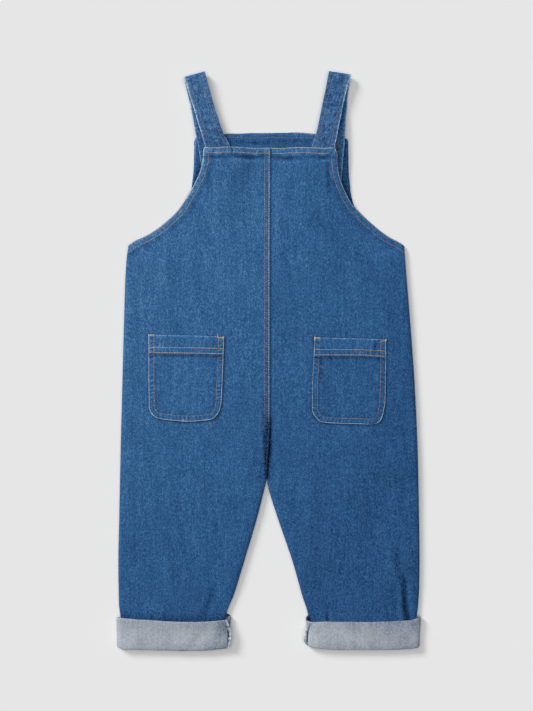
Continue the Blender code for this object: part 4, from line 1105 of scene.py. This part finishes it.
# up the cuff from its foot, how much lighter or darker it is painted: painted light and shade of its roll
CUFF_ROLL_SHADE = ((0.05, 0.12, 0.25, 0.32, 0.46, 0.59, 0.73, 0.8, 0.86, 0.95),
              (-0.02, 0.03, 0.075, 0.07, 0.04, 0, -0.03, -0.055, -0.03, 0))
CUFF_CELL = 5  # mm, before it is rounded
for number, side in enumerate(SIDES):
    shape = softened(sliced(merged(f"cuff_{side}"), CUFF_CELL), 2)
    points, faces, normals = arrays(shape)
    x, y, z = points.T
    foot, top = y.min(), y.max()
    lift = {key: np.interp(x, *places) for key, places in CUFF_SAG[side].items()}
    up = (y - foot) / (top - foot)
    swell = 0.1 * wander(x, y, 9, 600 + number) + 0.16 * wander(x * 0.4, y, 20, 610 + number)
    points = points + normals * (swell * (z > 0.5))[:, None]
    points[:, 1] += up * lift["top"] + (1 - up) * lift["foot"]
    points[:, 0] += up * lift["top_side"] + (1 - up) * lift["foot_side"]
    # a faint random tone, painted light and shade across the cuff, a painted highlight along the top fold,
    # painted light and shade up the roll, and painted shade under the foot and at the inner corners
    wear_and_shade = 0.03 * wander(x, y, 11, 620 + number) + np.interp(x, *CUFF_LIGHT_AND_SHADE[side])
    wear_and_shade += shade(edges[f"cuff_{side}"]["top"], 1.3, 0.1, x, points[:, 1])[1]
    wear_and_shade += np.interp(up, *CUFF_ROLL_SHADE) - 0.1 * fall(y - foot, 1.2)
    wear_and_shade += patch(CUFF_OPENING_SHADE[side], 0, -0.55, 0.7, x, points[:, 1])[1]
    finish_piece(f"cuff_{side}_cloth", points, faces, wear_and_shade, (denim_inside,),
                               f"cuff_{side}")

# %% [markdown]
# A turned-up cuff shows the raw side of the leg's seam. Its allowance is a narrow strip whose
# edge is bound with pale overlock thread. It lies flat at its ends and lifts in the middle, so
# it looks like a leaf with a dark hollow beside it, whose darkness is painted shade on the strip.

# %% Seam allowances of the cuffs
LEAF_STEPS, LEAF_CELLS = 36, 6  # along and across
LEAF_THICK, LEAF_LIFT, LEAF_ARCH = 0.7, 0.25, 1.15  # mm: the strip, its height at its ends and in the middle
OVERLOCK_IN = 0.28  # of the way in from the free edge
LEAVES = {
    # the edge sewn to the cuff, and the free edge, from the cuff's top to its foot
    "left": (((-48.3, -285.4), (-46.6, -292), (-45.7, -300), (-45.8, -308), (-46.6, -315.4)),
             ((-46.9, -284.4), (-42.6, -293), (-41.2, -300.3), (-41.7, -309.1), (-44.8, -316))),
    "right": (((46.4, -288.6), (43.8, -295.6), (42.9, -302.6), (42.7, -307), (43.2, -311)),
              ((45.2, -287.6), (40.6, -294.9), (38.7, -302.6), (38.3, -307.2), (41, -311.8))),
}


def curve(line, count):
    """Evenly counted places on one smooth curve through a line's points."""
    knots, wanted = np.linspace(0, 1, len(line)), np.linspace(0, 1, count)
    return np.column_stack([np.polyval(np.polyfit(knots, values, len(line) - 1), wanted)
                            for values in np.array(line).T])


def grid_faces(rows, cells, first, turn):
    """The faces of a grid of points, numbered from first."""
    made = []
    for i in range(rows):
        for j in range(cells):
            a = first + i * (cells + 1) + j
            made.append((a, a + 1, a + cells + 2, a + cells + 1)[::turn])
    return made


allowances, leaf_edges = {}, {}
for side, (sewn_edge, free_edge) in LEAVES.items():
    near, far = curve(sewn_edge, LEAF_STEPS + 1), curve(free_edge, LEAF_STEPS + 1)
    base = level(surfaces[f"cuff_{side}_cloth"][0], near, True)
    base = np.convolve(np.pad(base, 4, mode="edge"), np.ones(9) / 9, mode="valid")
    share = np.linspace(0, 1, LEAF_CELLS + 1)
    arch = np.sin(np.pi * np.linspace(0, 1, LEAF_STEPS + 1)) ** 0.6
    place = near[:, None, :] + share[None, :, None] * (far - near)[:, None, :]
    rise = base[:, None] + LEAF_LIFT + LEAF_ARCH * arch[:, None] * share[None, :] ** 1.3
    top = np.concatenate([place, rise[:, :, None]], 2).reshape(-1, 3)
    points = np.concatenate([top, top - (0, 0, LEAF_THICK)])
    count = len(top)
    turn = 1 if side == "left" else -1
    faces = grid_faces(LEAF_STEPS, LEAF_CELLS, 0, -turn) + grid_faces(LEAF_STEPS, LEAF_CELLS, count, turn)
    number = np.arange(count).reshape(LEAF_STEPS + 1, LEAF_CELLS + 1)
    rim = np.concatenate([number[0, :-1], number[:-1, -1], number[-1, :0:-1], number[:0:-1, 0]])
    for a, b in zip(rim, np.roll(rim, -1)):
        faces.append(tuple(int(i) for i in (a, b, b + count, a + count))[::turn])
    # painted shade under the lifted middle of the strip, darkest along its sewn edge
    hollow_shade = 0.62 * np.clip(1.15 - 2 * share, 0, 1)[None, :] * (0.35 + 0.65 * arch)[:, None]
    wear_and_shade = (0.06 - hollow_shade + 0.16 * wander(top[:, 0], top[:, 1], 3, 700).reshape(hollow_shade.shape)).ravel()
    allowances[side] = finish_piece(f"cuff_seam_{side}_cloth", points, faces, np.concatenate([wear_and_shade, wear_and_shade]),
                                    (denim_inside,), f"cuff_seam_{side}")
    leaf_edges[side] = far + OVERLOCK_IN * (near - far)

# %% [markdown]
# ## Stitches
#
# A lockstitch row is a chain of short thread arches that dive into the cloth at both ends. One
# arch is modelled, from a small sphere drawn out into a capsule with its ends bent down, and
# copied along every row. Each copy stands on the finished cloth, follows its slope, and takes
# over how worn or how shaded the cloth is there. A bar tack or an overlocked edge is the same
# thread laid across the line and packed close.

# %% One stitch
STITCH_PITCH = 2.7  # mm
STITCH_LONG, STITCH_WIDE, STITCH_TALL = 2.55, 0.68, 0.5
STITCH_DIVE = 0.1  # how far its ends sink into the cloth

bpy.ops.object.select_all(action="DESELECT")
bpy.ops.mesh.primitive_uv_sphere_add(segments=6, ring_count=5, radius=0.5)
model = bpy.context.object
bpy.ops.object.mode_set(mode="EDIT")
bpy.ops.mesh.select_all(action="SELECT")
bpy.ops.transform.rotate(value=math.pi / 2, orient_axis="Y", center_override=(0, 0, 0))
bpy.ops.transform.resize(value=(STITCH_LONG, STITCH_WIDE, STITCH_TALL), center_override=(0, 0, 0))
bpy.ops.object.mode_set(mode="OBJECT")
stitch_points = np.array([v.co[:] for v in model.data.vertices])
stitch_faces = [tuple(face.vertices) for face in model.data.polygons]
bpy.data.objects.remove(model)
stitch_points[:, 2] += 0.15 * STITCH_TALL - STITCH_DIVE * (2 * stitch_points[:, 0] / STITCH_LONG) ** 2
print("one stitch:", len(stitch_faces), "faces")


# %% Rows of stitches
LOOK = 0.8  # mm ahead and behind, between which the way along a path is taken


def resampled(path, pitch, trim):
    """Evenly spaced places along a path, with its ends trimmed, and the way along it there."""
    path = np.array(path, float)
    length = np.concatenate([[0], np.cumsum(np.linalg.norm(np.diff(path, axis=0), axis=1))])
    first, last = trim[0], length[-1] - trim[1]
    count = max(1, int((last - first) / pitch))
    at = first + (np.arange(count) + 0.5) * (last - first) / count
    places, ahead, behind = [np.column_stack([np.interp(at + step, length, path[:, i]) for i in (0, 1)])
                             for step in (0, LOOK, -LOOK)]
    return places, (ahead - behind) / np.linalg.norm(ahead - behind, axis=1)[:, None]


def offset(path, distance, centre=(0, 0)):
    """A path moved sideways by a distance, towards the side where the centre lies."""
    along = np.gradient(path, axis=0)
    side = sideways(along)
    if ((np.array(centre) - path) * side).sum() < 0:
        side = -side
    moved = path + side * distance
    keep = np.concatenate([[True], (np.diff(moved, axis=0) * along[:-1]).sum(1) > 0])
    return moved[keep]


def needle(names, x, y, from_above):
    """Where a needle first meets the named cloths: the place, the slope there, and its wear and painted
    shade.
    """
    start, down = (FAR, -1) if from_above else (-FAR, 1)
    first = None
    for name in names:
        tree, faces, wear_and_shades = surfaces[name]
        hit, normal, face, length = tree.ray_cast(Vector((x, y, start)), Vector((0, 0, down)))
        if hit is not None and (first is None or length < first[3]):
            upright = -normal if normal.z * down > 0 else normal
            first = hit, upright, float(np.mean([wear_and_shades[i] for i in faces[face]])), length
    return first


def stitches(names, path, trim=(0, 0), size=(1, 1, 1), pitch=STITCH_PITCH, from_above=True, across=False):
    """Stitch copies along a path on the named cloths: their points, faces, and wear and painted shade."""
    points, faces, wear_and_shades = [], [], []
    places, ways = resampled(path, pitch, trim)
    draw = np.random.default_rng(len(places))
    for (x, y), (ahead_x, ahead_y) in zip(places, ways):
        found = needle(names, x, y, from_above)
        if found is None:
            continue
        hit, normal, wear_and_shade, _ = found
        ahead = Vector((-ahead_y, ahead_x, 0)) if across else Vector((ahead_x, ahead_y, 0))
        ahead = (ahead - normal * ahead.dot(normal)).normalized()
        turn = np.array([ahead, normal.cross(ahead), normal])
        first = len(points) * len(stitch_points)
        points.append((stitch_points * size * draw.uniform(0.88, 1.08, 3)) @ turn + np.array(hit))
        wear_and_shades += [wear_and_shade + draw.uniform(-0.05, 0.05)] * len(stitch_points)
        faces += [tuple(i + first for i in f) for f in stitch_faces]
    return points, faces, wear_and_shades


def sew(name, rows, stuff):
    """Joins rows of stitches into one sewn piece."""
    points, faces, wear_and_shades = [], [], []
    for row_points, row_faces, row_wear_and_shades in rows:
        first = sum(len(p) for p in points)
        points += row_points
        wear_and_shades += row_wear_and_shades
        faces += [tuple(i + first for i in f) for f in row_faces]
    finish_piece(name, np.concatenate(points), faces, np.array(wear_and_shades), (threads[stuff],))


# %% Rows on the back
TOP_SIZE = (1.25, 1.2, 0.9)
OUTER_SIZE = (1.2, 0.9, 0.8)  # a row at an edge is pulled tighter, so its thread lies flatter
HEM_TRIM = (1.5, 1.5)  # mm left free at the ends of a row
for side in SIDES:
    own, where = edges[f"back_{side}"], (f"back_{side}_cloth",)
    outer = stitches(where, offset(own["armhole"], HEM_ROWS[0]), HEM_TRIM, OUTER_SIZE)
    top = stitches(where, offset(own["top"], HEM_ROWS[0]), HEM_TRIM, TOP_SIZE)
    inner = [stitches(where, offset(own[key], HEM_ROWS[1]), (2.5, 0.5), size)
             for key, size in (("past_armhole", (1.1, 1, 1)), ("top", TOP_SIZE))]
    sew(f"back_{side}_armhole_stitches", [outer], "tan")
    sew(f"back_{side}_top_stitches", [top], "orange")
    sew(f"back_{side}_inner_stitches", inner, "tan")
BESIDE_SEAM = {"left": (-80, 0), "right": (80, 0)}
SEAM_ROWS = (("inner", 1, 51, "tan"), ("outer", 0, 9, "pale"))  # row, mm left free at the crotch, thread
for name, row, end, stuff in SEAM_ROWS:
    lap = offset(edges["back_left"]["centre"], LAP_ROWS[row], BESIDE_SEAM["left"])
    sew(f"centre_{name}_stitches", [stitches(("back_left_cloth",), lap, (1, end))], stuff)

# %% Rows on the pockets
AROUND_SIZES = ((1.3, 0.9, 0.8), (1.15, 0.95, 1))
TURNED_SIZES = ((1.25, 1.15, 1), (1.25, 1.5, 1))
for side in SIDES:
    own, where = edges[f"pocket_{side}"], (f"pocket_{side}_cloth",)
    middle = own["around"].mean(0)
    outer, inner = [stitches(where, offset(own["around"], row, middle), (0.5, 0.5), size)
                    for row, size in zip(HEM_ROWS, AROUND_SIZES)]
    hems = [stitches(where, offset(own["turned"], row, middle), (0.8, 0.8), size)
            for row, size in zip(POCKET_HEM_ROWS[side], TURNED_SIZES)]
    sew(f"pocket_{side}_outer_stitches", [outer], "pale")
    sew(f"pocket_{side}_inner_stitches", [inner], "tan")
    sew(f"pocket_{side}_hem_stitches", hems, "orange")

# %% Bar tacks
TACK_PITCH = 0.62
TACK_SIZE = (0.58, 0.95, 0.9)
TACKS = {
    "left": (((-56.4, 29.6), (-56.4, 25.2)), ((-50.2, 27.4), (-50.2, 22.8)), ((-56, 25.7), (-50.6, 25.5)),
             ((-131, 28.6), (-126, 28.4)), ((-132.4, 21), (-132.4, 19))),
    "right": (((50.5, 27.6), (50.3, 23.6)), ((51, 25.5), (56.6, 25.2)), ((123.6, 21.6), (128.6, 22.4)),
              ((128.7, 24), (128.7, 21.6))),
}
for side, bars in TACKS.items():
    where = (f"pocket_{side}_cloth", f"back_{side}_cloth")
    sew(f"pocket_{side}_bar_tacks",
        [stitches(where, bar, size=TACK_SIZE, pitch=TACK_PITCH, across=True) for bar in bars], "bright")
sew("bib_bar_tack", [stitches(("back_right_cloth", "strap_right_cloth"), ((75.2, 236.5), (75.5, 231.7)),
                              size=(1.15, 0.95, 0.9), pitch=TACK_PITCH, across=True)], "dark")

# %% Overlocked edges of the allowances
for side, path in leaf_edges.items():
    rows = [stitches((f"cuff_seam_{side}_cloth",), path, (0.6, 0.6), (0.78, 1.2, 0.8), 1, across=True)]
    sew(f"cuff_seam_{side}_overlock", rows, "overlock")

# %% Rows on the front, the facing and the straps
for side in SIDES:
    own = edges[f"front_{side}"]
    rows = [offset(own[key], row) for key in ("armhole", "top") for row in HEM_ROWS]
    rows += [offset(own["centre"], row, BESIDE_SEAM[side]) for row in LAP_ROWS]
    sew(f"front_{side}_stitches",
        [stitches((f"front_{side}_cloth",), path, HEM_TRIM, from_above=False) for path in rows], "tan")
sew("bib_facing_stitches", [stitches(("bib_facing_cloth",), offset(facing_edges[0], FACING_ROW[0], (0, 150)),
                                     (1, 1), (1.1, 0.7, 0.8))], "tan")
ROW_ENDS = {"back": 96, "front": 128}  # mm below the fold
for side in SIDES:
    rows = []
    for half, length in ROW_ENDS.items():
        down, across = strap_way(side, half)
        for sign in (-1, 1):
            reach = np.linspace(0.2, length, 20)
            beside = sign * (half_width(half, reach) - STRAP_ROW)
            path = np.array(STRAPS[side]["fold"]) + reach[:, None] * down + beside[:, None] * across
            path[:, 0] += spread(side, half, path[:, 1], beside / half_width(half, reach))
            rows.append(stitches((f"strap_{side}_cloth",), path, size=(1, 0.75, 0.85),
                                 from_above=half == "back"))
    sew(f"strap_{side}_stitches", rows, "tan")

# %% [markdown]
# ## Buttons
#
# A dungarees button is a stamped brass cap on a tack. Brass goes brown in its hollows and stays
# yellow where it is rubbed. It sits under the bib, where the strap's loop hooks over it.

# %% Buttons
brass, brass_tree, brass_shader = new_material("antique_brass", {"Metallic": 1, "Roughness": 0.42})
brass_place = add(brass_tree, "ShaderNodeTexCoord").outputs["Object"]
tarnish = stretched_noise(brass_tree, brass_place, 2, 2, 4, 0.6)
brass_tree.links.new(ramp(brass_tree, tarnish, ((0.3, "#2C2115"), (0.6, "#5C4828"), (0.9, "#957A46"))),
                     brass_shader.inputs["Base Color"])
for side in SIDES:
    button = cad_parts[f"button_{side}"]
    button.data.materials.clear()
    button.data.materials.append(brass)
